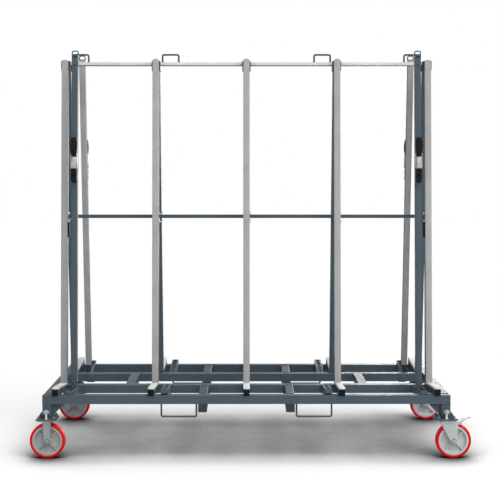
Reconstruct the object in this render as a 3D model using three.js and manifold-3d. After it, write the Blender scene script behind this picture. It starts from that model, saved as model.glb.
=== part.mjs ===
// Double-sided sheet goods cart.
// A welded base on four casters carries five A-frames. Each side of an A-frame is a leaning leg
// with a foot square to it, both faced with a soft lining, so sheets stand on edge and lean inwards.
// Four clamp poles with ratchet tensioners stand in inclined channels in front of the linings.
// Millimetres, +Z up, floor at Z = 0, length along X, front side at -Y.
import * as THREE from 'three';
import { mergeVertices } from 'three/addons/utils/BufferGeometryUtils.js';
import Module from 'manifold-3d';

const wasm = await Module();
wasm.setup();

// Fits
const seatGap = 0.3;          // between pieces that rest on or butt against each other
const runningGap = 0.4;       // between a turning piece and what it turns on
const weldLap = 1;            // how far welded pieces of one node reach into each other

// Base frame of square tube
const baseLength = 2316;
const baseDepth = 1100;
const beamSize = 50;
const beamBottom = 312;
const innerBeamY = 196;       // middle of each inner beam
const middleTieX = 697;       // middle of each tie between the inner beams

// Fork rails and fork loops under the base
const forkRailX = 250;
const forkRailDrop = 48;
const loopInnerX = 280;
const loopOuterX = 490;
const loopDrop = 81;
const loopRod = 10.5;
const loopBend = 10;

// Corner posts that carry the casters
const flangeSize = 116;
const flangeThickness = 8;
const footGussetHeight = 44;
const gussetThickness = 6;
const kneeLength = 74;
const kneeHeight = 76;
const pinRadius = 6;
const pinHeight = 32;         // shank above the flange
const pinHeadRadius = 19;
const pinHeadHeight = 22;
const pinHeadRim = 8;         // straight rim below the dome

// A-frames
const endFrameInset = 74;     // middle of the end A-frames inside the ends of the base
const cornerReach = 18;       // inner corner of the sheet space, in front of the inner beam
const cornerRise = 17;        // and above the base
const legWidth = 38;
const legDepth = 38;
const legLength = 1918;       // above the inner corner
const legTopGap = 30.75;      // between the two legs at the top
const footSize = 35;
const footOverhang = 3;
const liningThickness = 12;
const liningTopReach = 12;    // crowned end above the leg
const liningCrown = 8;        // rise of the crowned end
const topPlateThickness = 6;
const topPlateHeight = 58;

// Rails
const topRailHeight = 20;
const topRailInset = 5;       // below the top of the legs
const keeperWidth = 108;
const keeperHeight = 50;
const keeperRod = 11;
const keeperBend = 10;
const midRailBottom = 1346;
const midRailHeight = 21;
const midRailDepth = 20;
const midTieSize = 20;

// Clamp poles and the channels they stand in
const stationOffset = 75;     // from the middle of the A-frame beside it
const keeperOffset = 86;
const channelHeight = 24;
const channelWall = 2.5;
const channelDrop = 38;       // below the upper face of the foot lining
const channelPlay = 0.5;      // between the pole and each wall
const poleSize = 35;
const poleGap = 60;           // between the leg lining and the pole lining
const poleTop = 1936;         // above the inner corner, along the pole
const poleLiningStart = 9;    // above the inner corner, along the pole
const poleLiningEnd = 30;     // bare pole above its lining
const ringWidth = 41;
const ringHeight = 24;
const ringRod = 7;
const ringBend = 8;
const strapSlotWidth = 27;    // recess for the strap near the top of the pole
const strapSlotHeight = 14;
const strapSlotDepth = 5;
const strapSlotDrop = 8;      // below the top of the pole

// Ratchet tensioner on the outer face of each pole
const ratchetHeight = 1275;   // its spindle above the inner corner, along the pole
const ratchetWidth = 28;
const ratchetPlate = 3;
const spindleReach = 18.5;    // spindle in front of the pole face
const spindleRadius = 5;
const spoolRadius = 13;
const cheekRadius = 17;
const cheekTop = 54;
const cheekReach = 27;
const toothCount = 12;
const toothRake = 0.8;        // share of the pitch between a tip and the root behind it
const toothTip = 15;
const toothRoot = 11.5;
const toothedWidth = 3;
const padWidth = 33;
const padGroove = 5;          // depth of the groove across the pad
const padLength = 80;
const padThickness = 14;
const releaseRise = 57;
const releaseHeight = 9;
const releaseDepth = 6;
const armRadius = 10;
const gripRise = 71;
const gripLength = 97;
const gripWidth = 42;
const gripThickness = 22;
const gripWaist = 4;          // narrowing of the grip at its ends

// Casters
const wheelDiameter = 200;
const wheelWidth = 50;
const wheelFacets = 24;
const tyreThickness = 14;
const rimThickness = 13;
const rimInset = 3;           // rim edge inside the tyre edge
const hubRadius = 22;
const webThickness = 10;
const ribCount = 4;
const ribThickness = 6;
const ribInset = 4;           // rib edge inside the rim edge
const axleRadius = 6;
const axleNutRadius = 11;
const axleNutHeight = 7;
const casterHeight = 222;
const casterTrail = 46;
const mountPlateLength = 100;
const mountPlateThickness = 6;
const forkPlate = 5;
const forkSideGap = 4;        // between tyre and fork
const rigidForkWidth = 48;
const swivelForkWidth = 70;
const forkAxleRadius = 18;
const crownThickness = 6;
const racewayRadius = 36;
const racewayHeight = 9;
const pedalPivotX = 80;       // from the swivel axis, on the trailing side
const pedalPivotRise = 7;     // above the tyre
const pedalEarRadius = 10;
const pedalPinRadius = 4;
const pedalLength = 64;
const pedalThickness = 6;
const pedalTail = 8;
const pedalTilt = THREE.MathUtils.degToRad(27);

// Sizes worked out from the ones above
const halfLength = baseLength / 2;
const outerBeamY = baseDepth / 2 - beamSize / 2;
const endBeamX = halfLength - beamSize / 2;
const beamTop = beamBottom + beamSize;
const beamEnd = halfLength - beamSize - seatGap;
const innerBeamFace = innerBeamY + beamSize / 2;
const outerBeamFace = outerBeamY - beamSize / 2;
const cornerY = innerBeamFace + cornerReach;
const cornerZ = beamTop + cornerRise;
const legBack = -liningThickness - legDepth;
const leanAngle = Math.atan2(legLength, -legBack)
  - Math.acos((cornerY - legTopGap / 2) / Math.hypot(legLength, legBack));
const frameSpacing = (halfLength - endFrameInset) / 2;
const footEnd = (baseDepth / 2 - cornerY) / Math.cos(leanAngle) + footOverhang;
const legTopZ = cornerZ + legLength * Math.cos(leanAngle);
const topRailZ = legTopZ - topRailInset;
const topRailDepth = 2 * (legFaceY(legBack, topRailZ) - seatGap);
const plateFace = legWidth / 2 + topPlateThickness;
const poleOffset = poleGap + liningThickness + poleSize / 2;
const channelFloor = channelWall - channelDrop - channelHeight;
const channelWidth = poleSize + 2 * (channelPlay + channelWall);
const spindleY = poleSize / 2 + spindleReach;
const wheelRadius = wheelDiameter / 2;
const rimRadius = wheelRadius - tyreThickness;
const forkInner = wheelWidth / 2 + forkSideGap;
const forkOuter = forkInner + forkPlate;
const crownTop = casterHeight - seatGap - racewayHeight;
const pedalPivotZ = wheelDiameter + pedalPivotRise;
const stations = [-2, -1, 1, 2].map((n) => n * frameSpacing - Math.sign(n) * stationOffset);
const keeperStations = [1, 2].map((n) => n * frameSpacing - keeperOffset);

// Height-dependent distance of a leg face from the middle plane of the cart.
function legFaceY(faceOffset, height) {
  const along = (height - cornerZ - faceOffset * Math.sin(leanAngle)) / Math.cos(leanAngle);
  return cornerY + faceOffset * Math.cos(leanAngle) - along * Math.sin(leanAngle);
}

// Finishes
const finish = (color, roughness, metalness) => () =>
  new THREE.MeshStandardMaterial({ color, roughness, metalness });
const slatePaint = finish(0x56636c, 0.45, 0.2);
const paleRail = finish(0xc4c8ca, 0.5, 0.2);
const greyLining = finish(0xa9a9aa, 0.85, 0);
const zinc = finish(0x9a9c9e, 0.4, 0.7);
const castHub = finish(0x85888a, 0.5, 0.5);
const redTyre = finish(0xd01616, 0.5, 0);
const blackGrip = finish(0x16171a, 0.6, 0);

// Solids and geometry
function toSolid(geometry) {
  const bare = geometry.clone();
  bare.deleteAttribute('normal');
  bare.deleteAttribute('uv');
  const merged = mergeVertices(bare, 1e-4);
  return new wasm.Manifold(new wasm.Mesh({
    numProp: 3,
    vertProperties: new Float32Array(merged.attributes.position.array),
    triVerts: new Uint32Array(merged.index.array),
  }));
}

function toGeometry(solid) {
  const mesh = solid.getMesh();
  const geometry = new THREE.BufferGeometry();
  geometry.setAttribute('position', new THREE.BufferAttribute(mesh.vertProperties, 3));
  geometry.setIndex(new THREE.BufferAttribute(mesh.triVerts, 1));
  geometry.computeVertexNormals();
  return geometry;
}

function join(...geometries) {
  return toGeometry(geometries.map(toSolid).reduce((whole, piece) => whole.add(piece)));
}

function cut(geometry, ...tools) {
  return toGeometry(tools.map(toSolid).reduce((whole, tool) => whole.subtract(tool), toSolid(geometry)));
}

function block([x0, x1], [y0, y1], [z0, z1]) {
  const geometry = new THREE.BoxGeometry(x1 - x0, y1 - y0, z1 - z0);
  return geometry.translate((x0 + x1) / 2, (y0 + y1) / 2, (z0 + z1) / 2);
}

const around = (middle, size) => [middle - size / 2, middle + size / 2];

// A bar centred on the pin axis, along X or Y.
function rod(axis, radius, halfWidth, sides = 8) {
  const geometry = new THREE.CylinderGeometry(radius, radius, 2 * halfWidth, sides);
  return axis === 'x' ? geometry.rotateZ(Math.PI / 2) : geometry;
}

// An outline drawn in the plane square to the axis, pushed along it from start to end.
function prism(axis, outline, [start, end]) {
  const isList = Array.isArray(outline);
  const shape = isList ? new THREE.Shape(outline.map(([a, b]) => new THREE.Vector2(a, b))) : outline;
  const geometry = new THREE.ExtrudeGeometry(shape, {
    depth: end - start,
    bevelEnabled: false,
    curveSegments: 4,
  });
  if (axis === 'x') {
    geometry.rotateX(Math.PI / 2).rotateZ(Math.PI / 2);
    return geometry.translate(start, 0, 0);
  }
  if (axis === 'y') {
    return geometry.rotateX(Math.PI / 2).translate(0, end, 0);
  }
  return geometry.translate(0, 0, start);
}

// A strip with one crowned end, standing from low to high.
function strip(width, low, high, crown) {
  const half = width / 2;
  const shape = new THREE.Shape();
  shape.moveTo(-half, low);
  shape.lineTo(half, low);
  shape.lineTo(half, high - crown);
  shape.absellipse(0, high - crown, half, crown, 0, Math.PI, false);
  shape.closePath();
  return shape;
}

// Path of a bent rod: straight stretches joined by bends that have a few facets each.
class BentRod extends THREE.Curve {
  constructor(points) {
    super();
    this.points = points;
  }

  getPoint(t) {
    const place = t * (this.points.length - 1);
    const index = Math.min(Math.floor(place), this.points.length - 2);
    return this.points[index].clone().lerp(this.points[index + 1], place - index);
  }

  getPointAt(u) {
    return this.getPoint(u);
  }

  getTangentAt(u) {
    const index = Math.round(u * (this.points.length - 1));
    const before = this.points[Math.max(index - 1, 0)];
    const after = this.points[Math.min(index + 1, this.points.length - 1)];
    return after.clone().sub(before).normalize();
  }
}

// A round rod bent to an arch in the XZ plane, with its ends at X = -half and +half on Z = base.
function arch(half, base, top, bend, diameter, bendSteps = 3) {
  const rise = Math.sign(top - base);
  const points = [new THREE.Vector3(-half, 0, base)];
  for (const side of [-1, 1]) {
    for (let step = 0; step <= bendSteps; step += 1) {
      const share = side < 0 ? step : bendSteps - step;
      const angle = (share / bendSteps) * (Math.PI / 2);
      const x = side * (half - bend + bend * Math.cos(angle));
      points.push(new THREE.Vector3(x, 0, top - rise * (bend - bend * Math.sin(angle))));
    }
  }
  points.push(new THREE.Vector3(half, 0, base));
  const section = new THREE.Shape();
  section.absarc(0, 0, diameter / 2, 0, 2 * Math.PI, false);
  return new THREE.ExtrudeGeometry(section, {
    steps: points.length - 1,
    curveSegments: 3,
    extrudePath: new BentRod(points),
  });
}

// Scene graph
const cart = new THREE.Group();
cart.position.x = -casterTrail / 2;

function add(group, name, geometry, material, x = 0, y = 0, z = 0) {
  const mesh = new THREE.Mesh(geometry, material());
  mesh.name = name;
  mesh.position.set(x, y, z);
  group.add(mesh);
}

// Frame of one side: Y runs outwards along the feet and Z up along the legs, from the inner corner.
function sideGroup(side) {
  const turned = new THREE.Group();
  turned.rotation.z = side === 'front' ? Math.PI : 0;
  const tilted = new THREE.Group();
  tilted.position.set(0, cornerY, cornerZ);
  tilted.rotation.x = leanAngle;
  turned.add(tilted);
  cart.add(turned);
  return tilted;
}

function sideMatrix(side) {
  const turn = new THREE.Matrix4().makeRotationZ(side === 'front' ? Math.PI : 0);
  const place = new THREE.Matrix4().makeTranslation(0, cornerY, cornerZ);
  return turn.multiply(place).multiply(new THREE.Matrix4().makeRotationX(leanAngle));
}

const sides = ['front', 'rear'];
const sideSign = { front: -1, rear: 1 };    // the way a side faces along Y
const tilted = { front: sideGroup('front'), rear: sideGroup('rear') };

// Room that an outer and an inner beam take up, with their seat gap.
function beamRoom(y) {
  const room = beamSize / 2 + seatGap;
  return block([-halfLength, halfLength], [y - room, y + room], [beamBottom - seatGap, beamTop + seatGap]);
}

// Channel that a clamp pole stands in, open at the top, from the inner to the outer beam
function poleChannel() {
  const inner = -cornerReach - beamSize / 4;
  const bottom = -channelDrop - channelHeight;
  const bar = block(around(0, channelWidth), [inner, footEnd], [bottom, -channelDrop]);
  const groove = block(
    around(0, poleSize + 2 * channelPlay),
    [0, footEnd + weldLap],
    [channelFloor, weldLap - channelDrop],
  );
  return cut(bar, groove);
}

// Inner beams with the channels welded to them
function buildInnerBeams() {
  const channel = poleChannel();
  for (const side of sides) {
    const y = sideSign[side] * innerBeamY;
    const past = sideSign[side] * (outerBeamFace - seatGap + baseDepth / 2);
    const pastOuterBeam = block([-halfLength, halfLength], around(past, baseDepth), [0, legTopZ]);
    const placed = stations.map((x) => {
      const geometry = channel.clone().translate(sideSign[side] * x, 0, 0).applyMatrix4(sideMatrix(side));
      return cut(geometry, pastOuterBeam);
    });
    const pieces = [block([-beamEnd, beamEnd], around(y, beamSize), [beamBottom, beamTop]), ...placed];
    if (side === 'rear') {
      const reach = [-innerBeamY + beamSize / 2 + seatGap, innerBeamY - beamSize / 2 + weldLap];
      for (const x of [-middleTieX, middleTieX]) {
        pieces.push(block(around(x, beamSize), reach, [beamBottom, beamTop]));
      }
    }
    add(cart, `${side}_inner_beam`, join(...pieces), slatePaint);
  }
}

// Triangular plate standing on a flange, thin across its length.
function footGusset(turn) {
  const outline = [
    [beamSize / 2 - weldLap, 0],
    [flangeSize / 2, 0],
    [beamSize / 2, footGussetHeight],
    [beamSize / 2 - weldLap, footGussetHeight],
  ];
  return prism('y', outline, around(0, gussetThickness)).rotateZ(turn * Math.PI / 2);
}

// Pin with a domed head that stands on the outer edge of a flange
function cornerPin() {
  const foot = casterHeight + flangeThickness;
  const head = foot + pinHeight;
  const dome = pinHeadHeight - pinHeadRim;
  const base = foot - weldLap;
  const profile = [[0, base], [pinRadius, base], [pinRadius, head], [pinHeadRadius, head]];
  for (const share of [0, 0.5, 0.8, 1]) {
    const angle = (share * Math.PI) / 2;
    profile.push([pinHeadRadius * Math.cos(angle), head + pinHeadRim + dome * Math.sin(angle)]);
  }
  return lathe(profile, 10).rotateX(Math.PI / 2).translate(0, beamSize / 2 + seatGap + pinHeadRadius, 0);
}

// Corner post with its flange, the plates and the pin at its foot and the knee under the outer beam
function cornerPost(inward, outward) {
  const low = casterHeight + flangeThickness;
  const post = block(around(0, beamSize), around(0, beamSize), [casterHeight, beamBottom + weldLap]);
  const flange = block(around(0, flangeSize), around(0, flangeSize), [casterHeight, low]);
  const gussets = [0, 2, 2 + outward].map((turn) => footGusset(turn).translate(0, 0, low - weldLap));
  const knee = prism('y', [
    [beamSize / 2 - weldLap, beamBottom + weldLap],
    [beamSize / 2 - weldLap, beamBottom - kneeHeight],
    [beamSize / 2, beamBottom - kneeHeight],
    [beamSize / 2 + kneeLength, beamBottom],
    [beamSize / 2 + kneeLength, beamBottom + weldLap],
  ], around(0, gussetThickness));
  if (inward < 0) {
    knee.rotateZ(Math.PI);
  }
  const pin = outward < 0 ? cornerPin().rotateZ(Math.PI) : cornerPin();
  return join(post, flange, ...gussets, knee, pin);
}

// Base: outer beams with their corner posts, and the end beams between them
function buildOuterBeams() {
  for (const side of sides) {
    const tube = block(around(0, baseLength), around(0, beamSize), [beamBottom, beamTop]);
    const posts = [-1, 1].map((hand) => cornerPost(-hand, sideSign[side]).translate(hand * endBeamX, 0, 0));
    add(cart, `${side}_beam`, join(tube, ...posts), slatePaint, 0, sideSign[side] * outerBeamY);
  }
}

function buildEndFrames() {
  const reach = [seatGap - outerBeamFace, outerBeamFace - seatGap];
  for (const [name, hand] of [['left', -1], ['right', 1]]) {
    const beam = block(around(0, beamSize), reach, [beamBottom, beamTop]);
    add(cart, `${name}_end_frame`, beam, slatePaint, hand * endBeamX);
  }
}

// Fork rails: a low tube from front to rear with the ties that fill the outer bays above it
function buildForkRails() {
  const low = [beamBottom - forkRailDrop, beamBottom - seatGap];
  const tube = block(around(0, beamSize), around(0, baseDepth), low);
  const bay = [innerBeamFace + seatGap, outerBeamFace - seatGap];
  const ties = [bay, [-bay[1], -bay[0]]].map((reach) =>
    block(around(0, beamSize), reach, [beamBottom - seatGap - weldLap, beamTop]));
  const rail = join(tube, ...ties);
  for (const [name, hand] of [['left', -1], ['right', 1]]) {
    add(cart, `fork_rail_${name}`, rail, slatePaint, hand * forkRailX);
    for (const side of sides) {
      const half = (loopOuterX - loopInnerX - loopRod) / 2;
      const bottom = beamBottom - loopDrop + loopRod / 2;
      const loop = arch(half, beamBottom - seatGap, bottom, loopBend, loopRod);
      const middle = hand * (loopInnerX + loopOuterX) / 2;
      add(cart, `fork_loop_${side}_${name}`, loop, slatePaint, middle, sideSign[side] * outerBeamY);
    }
  }
}

// Leaning leg and foot of one side of an A-frame, notched over the beams
function legWithFoot(side) {
  const footLow = -liningThickness - footSize;
  const leg = block(around(0, legWidth), [legBack, -liningThickness], [footLow, legLength]);
  const foot = block(around(0, footSize), [legBack, footEnd], [footLow, -liningThickness]);
  const bent = join(leg, foot).applyMatrix4(sideMatrix(side));
  return cut(bent, beamRoom(sideSign[side] * outerBeamY), beamRoom(sideSign[side] * innerBeamY));
}

// Plates on both faces of the legs at the top
function topPlates() {
  const low = legTopZ - topPlateHeight;
  const outline = [
    [-legFaceY(legBack / 2, low), low],
    [legFaceY(legBack / 2, low), low],
    [legFaceY(-liningThickness, legTopZ), legTopZ - liningThickness],
    [legFaceY(legBack / 2, legTopZ), legTopZ],
    [-legFaceY(legBack / 2, legTopZ), legTopZ],
    [-legFaceY(-liningThickness, legTopZ), legTopZ - liningThickness],
  ];
  return [-1, 1].map((hand) => {
    const reach = [hand * plateFace, hand * (legWidth / 2 - weldLap)];
    return prism('x', outline, [Math.min(...reach), Math.max(...reach)]);
  });
}

function buildAFrames() {
  const tieTop = midRailBottom - seatGap;
  const tieReach = 2 * legFaceY(legBack / 2, tieTop);
  const tie = block(around(0, midTieSize), around(0, tieReach), [tieTop - midTieSize, tieTop]);
  const closed = join(legWithFoot('front'), legWithFoot('rear'), tie, ...topPlates());
  const slot = block(
    around(0, 2 * plateFace + weldLap),
    around(0, topRailDepth + 2 * seatGap),
    [topRailZ - topRailHeight - seatGap, topRailZ + seatGap],
  );
  const slotted = cut(closed, slot);
  for (let n = 0; n < 5; n += 1) {
    const place = n - 2;
    const passed = Math.abs(place) === 1;
    add(cart, `a_frame_${n + 1}`, passed ? slotted : closed, slatePaint, place * frameSpacing);
  }
}

// Soft lining of one leg and its foot
function buildLinings() {
  const inner = seatGap - liningThickness;
  const legStrip = prism('y', strip(legWidth, inner, legLength + liningTopReach, liningCrown), [inner, 0]);
  const footStrip = prism('z', strip(legWidth, inner, footEnd, liningCrown), [inner, 0]);
  const lining = join(legStrip, footStrip);
  for (const side of sides) {
    for (let n = 0; n < 5; n += 1) {
      const x = sideSign[side] * (n - 2) * frameSpacing;
      add(tilted[side], `lining_${side}_${n + 1}`, lining, greyLining, x);
    }
  }
}

// Top rail in two lengths, each with two keeper loops, and the mid rail on the ties of the A-frames
function buildRails() {
  const start = plateFace + seatGap;
  const end = 2 * frameSpacing - plateFace - seatGap;
  const bar = block([start, end], around(0, topRailDepth), [topRailZ - topRailHeight, topRailZ]);
  const half = (keeperWidth - keeperRod) / 2;
  const keepers = keeperStations.map((x) => {
    const foot = topRailZ - topRailHeight / 2;
    const crest = topRailZ + keeperHeight - keeperRod / 2;
    return arch(half, foot, crest, keeperBend, keeperRod).translate(x, 0, 0);
  });
  const rail = join(bar, ...keepers);
  add(cart, 'top_rail_right', rail, paleRail);
  add(cart, 'top_rail_left', rail.clone().rotateZ(Math.PI), paleRail);
  const midEnd = 2 * frameSpacing + midTieSize / 2;
  const midSpan = [midRailBottom, midRailBottom + midRailHeight];
  add(cart, 'mid_rail', block([-midEnd, midEnd], around(0, midRailDepth), midSpan), slatePaint);
}

// Clamp pole with its pull ring, standing in a channel
function poleGeometry() {
  const shaft = block(around(0, poleSize), around(0, poleSize), [channelFloor + seatGap, poleTop]);
  const half = (ringWidth - ringRod) / 2;
  const ringBase = poleTop - ringRod;
  const ring = arch(half, ringBase, poleTop + ringHeight - ringRod / 2, ringBend, ringRod);
  const slotTop = poleTop - strapSlotDrop;
  const slot = block(
    around(0, strapSlotWidth),
    [poleSize / 2 - strapSlotDepth, poleSize / 2 + weldLap],
    [slotTop - strapSlotHeight, slotTop],
  );
  return cut(join(shaft, ring), slot);
}

function poleLining() {
  const inner = -poleSize / 2 - liningThickness;
  const reach = [poleLiningStart, poleTop - poleLiningEnd];
  return block(around(0, poleSize), [inner, -poleSize / 2 - seatGap], reach);
}

// Toothed wheel of a ratchet, with its teeth raked one way
function toothedOutline() {
  const points = [];
  for (let n = 0; n < toothCount; n += 1) {
    const tip = (n / toothCount) * 2 * Math.PI;
    const root = ((n + toothRake) / toothCount) * 2 * Math.PI;
    points.push([toothTip * Math.cos(tip), toothTip * Math.sin(tip)]);
    points.push([toothRoot * Math.cos(root), toothRoot * Math.sin(root)]);
  }
  return points;
}

// Ratchet frame on the pole: base plate, cheeks, front guard, toothed wheels on the spool and the pad below
function ratchetBody() {
  const face = poleSize / 2 + seatGap;
  const half = ratchetWidth / 2;
  const front = face + cheekReach;
  const base = block(
    around(0, ratchetWidth),
    [face, face + ratchetPlate],
    [-cheekRadius - weldLap, cheekTop],
  );
  const cheek = new THREE.Shape();
  cheek.moveTo(face, -cheekRadius);
  cheek.lineTo(spindleY, -cheekRadius);
  cheek.absarc(spindleY, 0, cheekRadius, -Math.PI / 2, 0, false);
  cheek.lineTo(front, cheekTop);
  cheek.lineTo(face, cheekTop);
  cheek.closePath();
  const cheeks = [[half - ratchetPlate, half], [-half, ratchetPlate - half]].map((reach) =>
    prism('x', cheek, reach));
  const guard = prism('x', [
    [spindleY + cheekRadius - ratchetPlate, 0],
    [spindleY + cheekRadius, 0],
    [front, cheekTop],
    [front - ratchetPlate, cheekTop],
  ], around(0, ratchetWidth - ratchetPlate));
  const outer = half + toothedWidth;
  const wheels = [[half - weldLap, outer], [-outer, weldLap - half]].map((reach) =>
    prism('x', toothedOutline(), reach).translate(0, spindleY, 0));
  const spool = rod('x', spoolRadius, half - weldLap).translate(0, spindleY, 0);
  const spindle = rod('x', spindleRadius, outer + runningGap + ratchetPlate).translate(0, spindleY, 0);
  const padShape = strip(padWidth, 0, padLength, padWidth / 2);
  const pad = prism('y', padShape, [face, face + padThickness]).rotateY(Math.PI);
  const groove = block(
    around(0, padWidth + weldLap),
    [face + padThickness - padGroove, face + padThickness + weldLap],
    around(-padLength / 2, padGroove),
  );
  const lobes = cut(pad, groove).translate(0, 0, -cheekRadius);
  return join(base, ...cheeks, guard, ...wheels, spool, spindle, lobes);
}

// Ratchet handle: two arms on the spindle, the release bar between them and the barrel grip
function ratchetHandle() {
  const inner = ratchetWidth / 2 + toothedWidth + runningGap;
  const arm = new THREE.Shape();
  arm.absarc(0, 0, armRadius, Math.PI, 2 * Math.PI, false);
  arm.lineTo(armRadius, gripRise + weldLap);
  arm.lineTo(-armRadius, gripRise + weldLap);
  arm.closePath();
  const bore = new THREE.Path();
  bore.absarc(0, 0, (spindleRadius + runningGap) / Math.cos(Math.PI / 8), 0, 2 * Math.PI, true);
  arm.holes.push(bore);
  const arms = [[inner, inner + ratchetPlate], [-inner - ratchetPlate, -inner]].map((reach) =>
    prism('x', arm, reach));
  const release = block(
    around(0, 2 * inner + ratchetPlate),
    around(0, releaseDepth),
    [releaseRise, releaseRise + releaseHeight],
  );
  const half = gripWidth / 2;
  const waist = half - gripWaist / 2;
  const top = gripRise + gripLength;
  const grip = new THREE.Shape();
  grip.moveTo(-waist, gripRise);
  grip.lineTo(waist, gripRise);
  grip.quadraticCurveTo(half + gripWaist / 2, gripRise + gripLength / 2, waist, top);
  grip.lineTo(-waist, top);
  grip.quadraticCurveTo(-half - gripWaist / 2, gripRise + gripLength / 2, -waist, gripRise);
  return join(...arms, release, prism('y', grip, around(0, gripThickness)));
}

function buildPoles() {
  const pole = poleGeometry();
  const lining = poleLining();
  const body = ratchetBody();
  const handle = ratchetHandle();
  for (const side of sides) {
    for (const [name, x] of [['left', stations[0]], ['right', stations[3]]]) {
      const group = new THREE.Group();
      group.position.set(sideSign[side] * x, poleOffset, 0);
      tilted[side].add(group);
      add(group, `pole_${side}_${name}`, pole, slatePaint);
      add(group, `pole_lining_${side}_${name}`, lining, greyLining);
      add(group, `ratchet_body_${side}_${name}`, body, zinc, 0, 0, ratchetHeight);
      add(group, `ratchet_handle_${side}_${name}`, handle, blackGrip, 0, spindleY, ratchetHeight);
    }
  }
}

// Wheel: ribbed hub and bonded tyre, turning about the Y axis
function lathe(profile, segments) {
  const points = [...profile, profile[0]].map(([r, y]) => new THREE.Vector2(r, y));
  return new THREE.LatheGeometry(points, segments);
}

function hubGeometry() {
  const bore = axleRadius + runningGap;
  const boss = forkInner - runningGap;
  const web = webThickness / 2;
  const rimInner = rimRadius - rimThickness;
  const rimOuter = rimRadius - seatGap;
  const rimEdge = wheelWidth / 2 - rimInset;
  const turned = lathe([
    [bore, -boss], [hubRadius, -boss], [hubRadius, -web], [rimInner, -web], [rimInner, -rimEdge],
    [rimOuter, -rimEdge], [rimOuter, rimEdge], [rimInner, rimEdge], [rimInner, web],
    [hubRadius, web], [hubRadius, boss], [bore, boss],
  ], wheelFacets);
  const ribs = [];
  for (let n = 0; n < ribCount; n += 1) {
    const reach = [hubRadius - 2 * weldLap, rimInner + 2 * weldLap];
    const rib = block(reach, around(0, 2 * (rimEdge - ribInset)), around(0, ribThickness));
    ribs.push(rib.rotateY(((n + 0.5) / ribCount) * 2 * Math.PI));
  }
  return join(turned, ...ribs);
}

function tyreGeometry() {
  const edge = wheelWidth / 2;
  const shoulder = tyreThickness / 2;
  const profile = [[rimRadius, -edge + rimInset], [rimRadius + shoulder, -edge]];
  for (let step = 1; step <= 2; step += 1) {
    const angle = (step / 2) * (Math.PI / 2);
    const r = wheelRadius - shoulder + shoulder * Math.sin(angle);
    profile.push([r, -edge + shoulder - shoulder * Math.cos(angle)]);
  }
  const mirrored = profile.map(([r, y]) => [r, -y]).reverse();
  return lathe([...profile, ...mirrored], wheelFacets);
}

// Outline of a fork side plate from its top edge down to the axle eye
function forkOutline(top, left, right, axleX) {
  const shape = new THREE.Shape();
  shape.moveTo(left, top);
  shape.lineTo(axleX - forkAxleRadius, wheelRadius);
  shape.absarc(axleX, wheelRadius, forkAxleRadius, Math.PI, 2 * Math.PI, false);
  shape.lineTo(right, top);
  shape.closePath();
  return shape;
}

function axle(x) {
  const pin = rod('y', axleRadius, forkOuter + axleNutHeight);
  const nutPlace = forkOuter + axleNutHeight / 2 - weldLap;
  const nuts = [-1, 1].map((hand) =>
    rod('y', axleNutRadius, axleNutHeight / 2, 6).translate(0, hand * nutPlace, 0));
  return join(pin, ...nuts).translate(x, 0, wheelRadius);
}

const forkSides = [[forkInner, forkOuter], [-forkOuter, -forkInner]];

function rigidFork() {
  const top = casterHeight - seatGap;
  const low = top - mountPlateThickness;
  const plate = block(around(0, mountPlateLength), around(0, mountPlateLength), [low, top]);
  const outline = forkOutline(low + weldLap, -rigidForkWidth / 2, rigidForkWidth / 2, 0);
  return join(plate, axle(0), ...forkSides.map((reach) => prism('y', outline, reach)));
}

// Swivel fork: raceway, crown and raked side plates with ears for the brake pedal
function swivelFork() {
  const low = crownTop - crownThickness;
  const raceway = new THREE.CylinderGeometry(racewayRadius, racewayRadius, racewayHeight + weldLap, 12);
  raceway.rotateX(Math.PI / 2).translate(0, 0, crownTop + (racewayHeight - weldLap) / 2);
  const crown = block(around(0, swivelForkWidth), around(0, 2 * forkOuter), [low, crownTop]);
  const outline = forkOutline(crownTop, -swivelForkWidth / 2, pedalPivotX - pedalEarRadius, casterTrail);
  const ear = new THREE.Shape();
  ear.moveTo(0, -pedalEarRadius);
  ear.absarc(0, 0, pedalEarRadius, -Math.PI / 2, Math.PI / 2, false);
  ear.lineTo(-3 * pedalEarRadius, crownTop - pedalPivotZ);
  ear.lineTo(-3 * pedalEarRadius, -pedalEarRadius);
  ear.closePath();
  const plates = forkSides.map((reach) =>
    join(prism('y', outline, reach), prism('y', ear, reach).translate(pedalPivotX, 0, pedalPivotZ)));
  const bore = rod('y', pedalPinRadius + runningGap, forkOuter + weldLap);
  return cut(join(raceway, crown, axle(casterTrail), ...plates), bore.translate(pedalPivotX, 0, pedalPivotZ));
}

// Brake pedal: a cross pin in the ears with a tread plate that rises outwards
function brakePedal() {
  const half = forkInner - runningGap;
  const pin = rod('y', pedalPinRadius, forkOuter);
  const sleeve = rod('y', pedalPinRadius + pedalThickness / 2, half, 12);
  const treadWidth = 2 * (half - forkSideGap);
  const tread = block([-pedalTail, pedalLength], around(0, treadWidth), around(0, pedalThickness));
  const lipHeight = [-pedalTail, pedalThickness / 2];
  const lip = block(around(pedalLength, pedalThickness), around(0, 2 * half), lipHeight);
  return join(pin, sleeve, join(tread, lip).rotateY(-pedalTilt));
}

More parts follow.
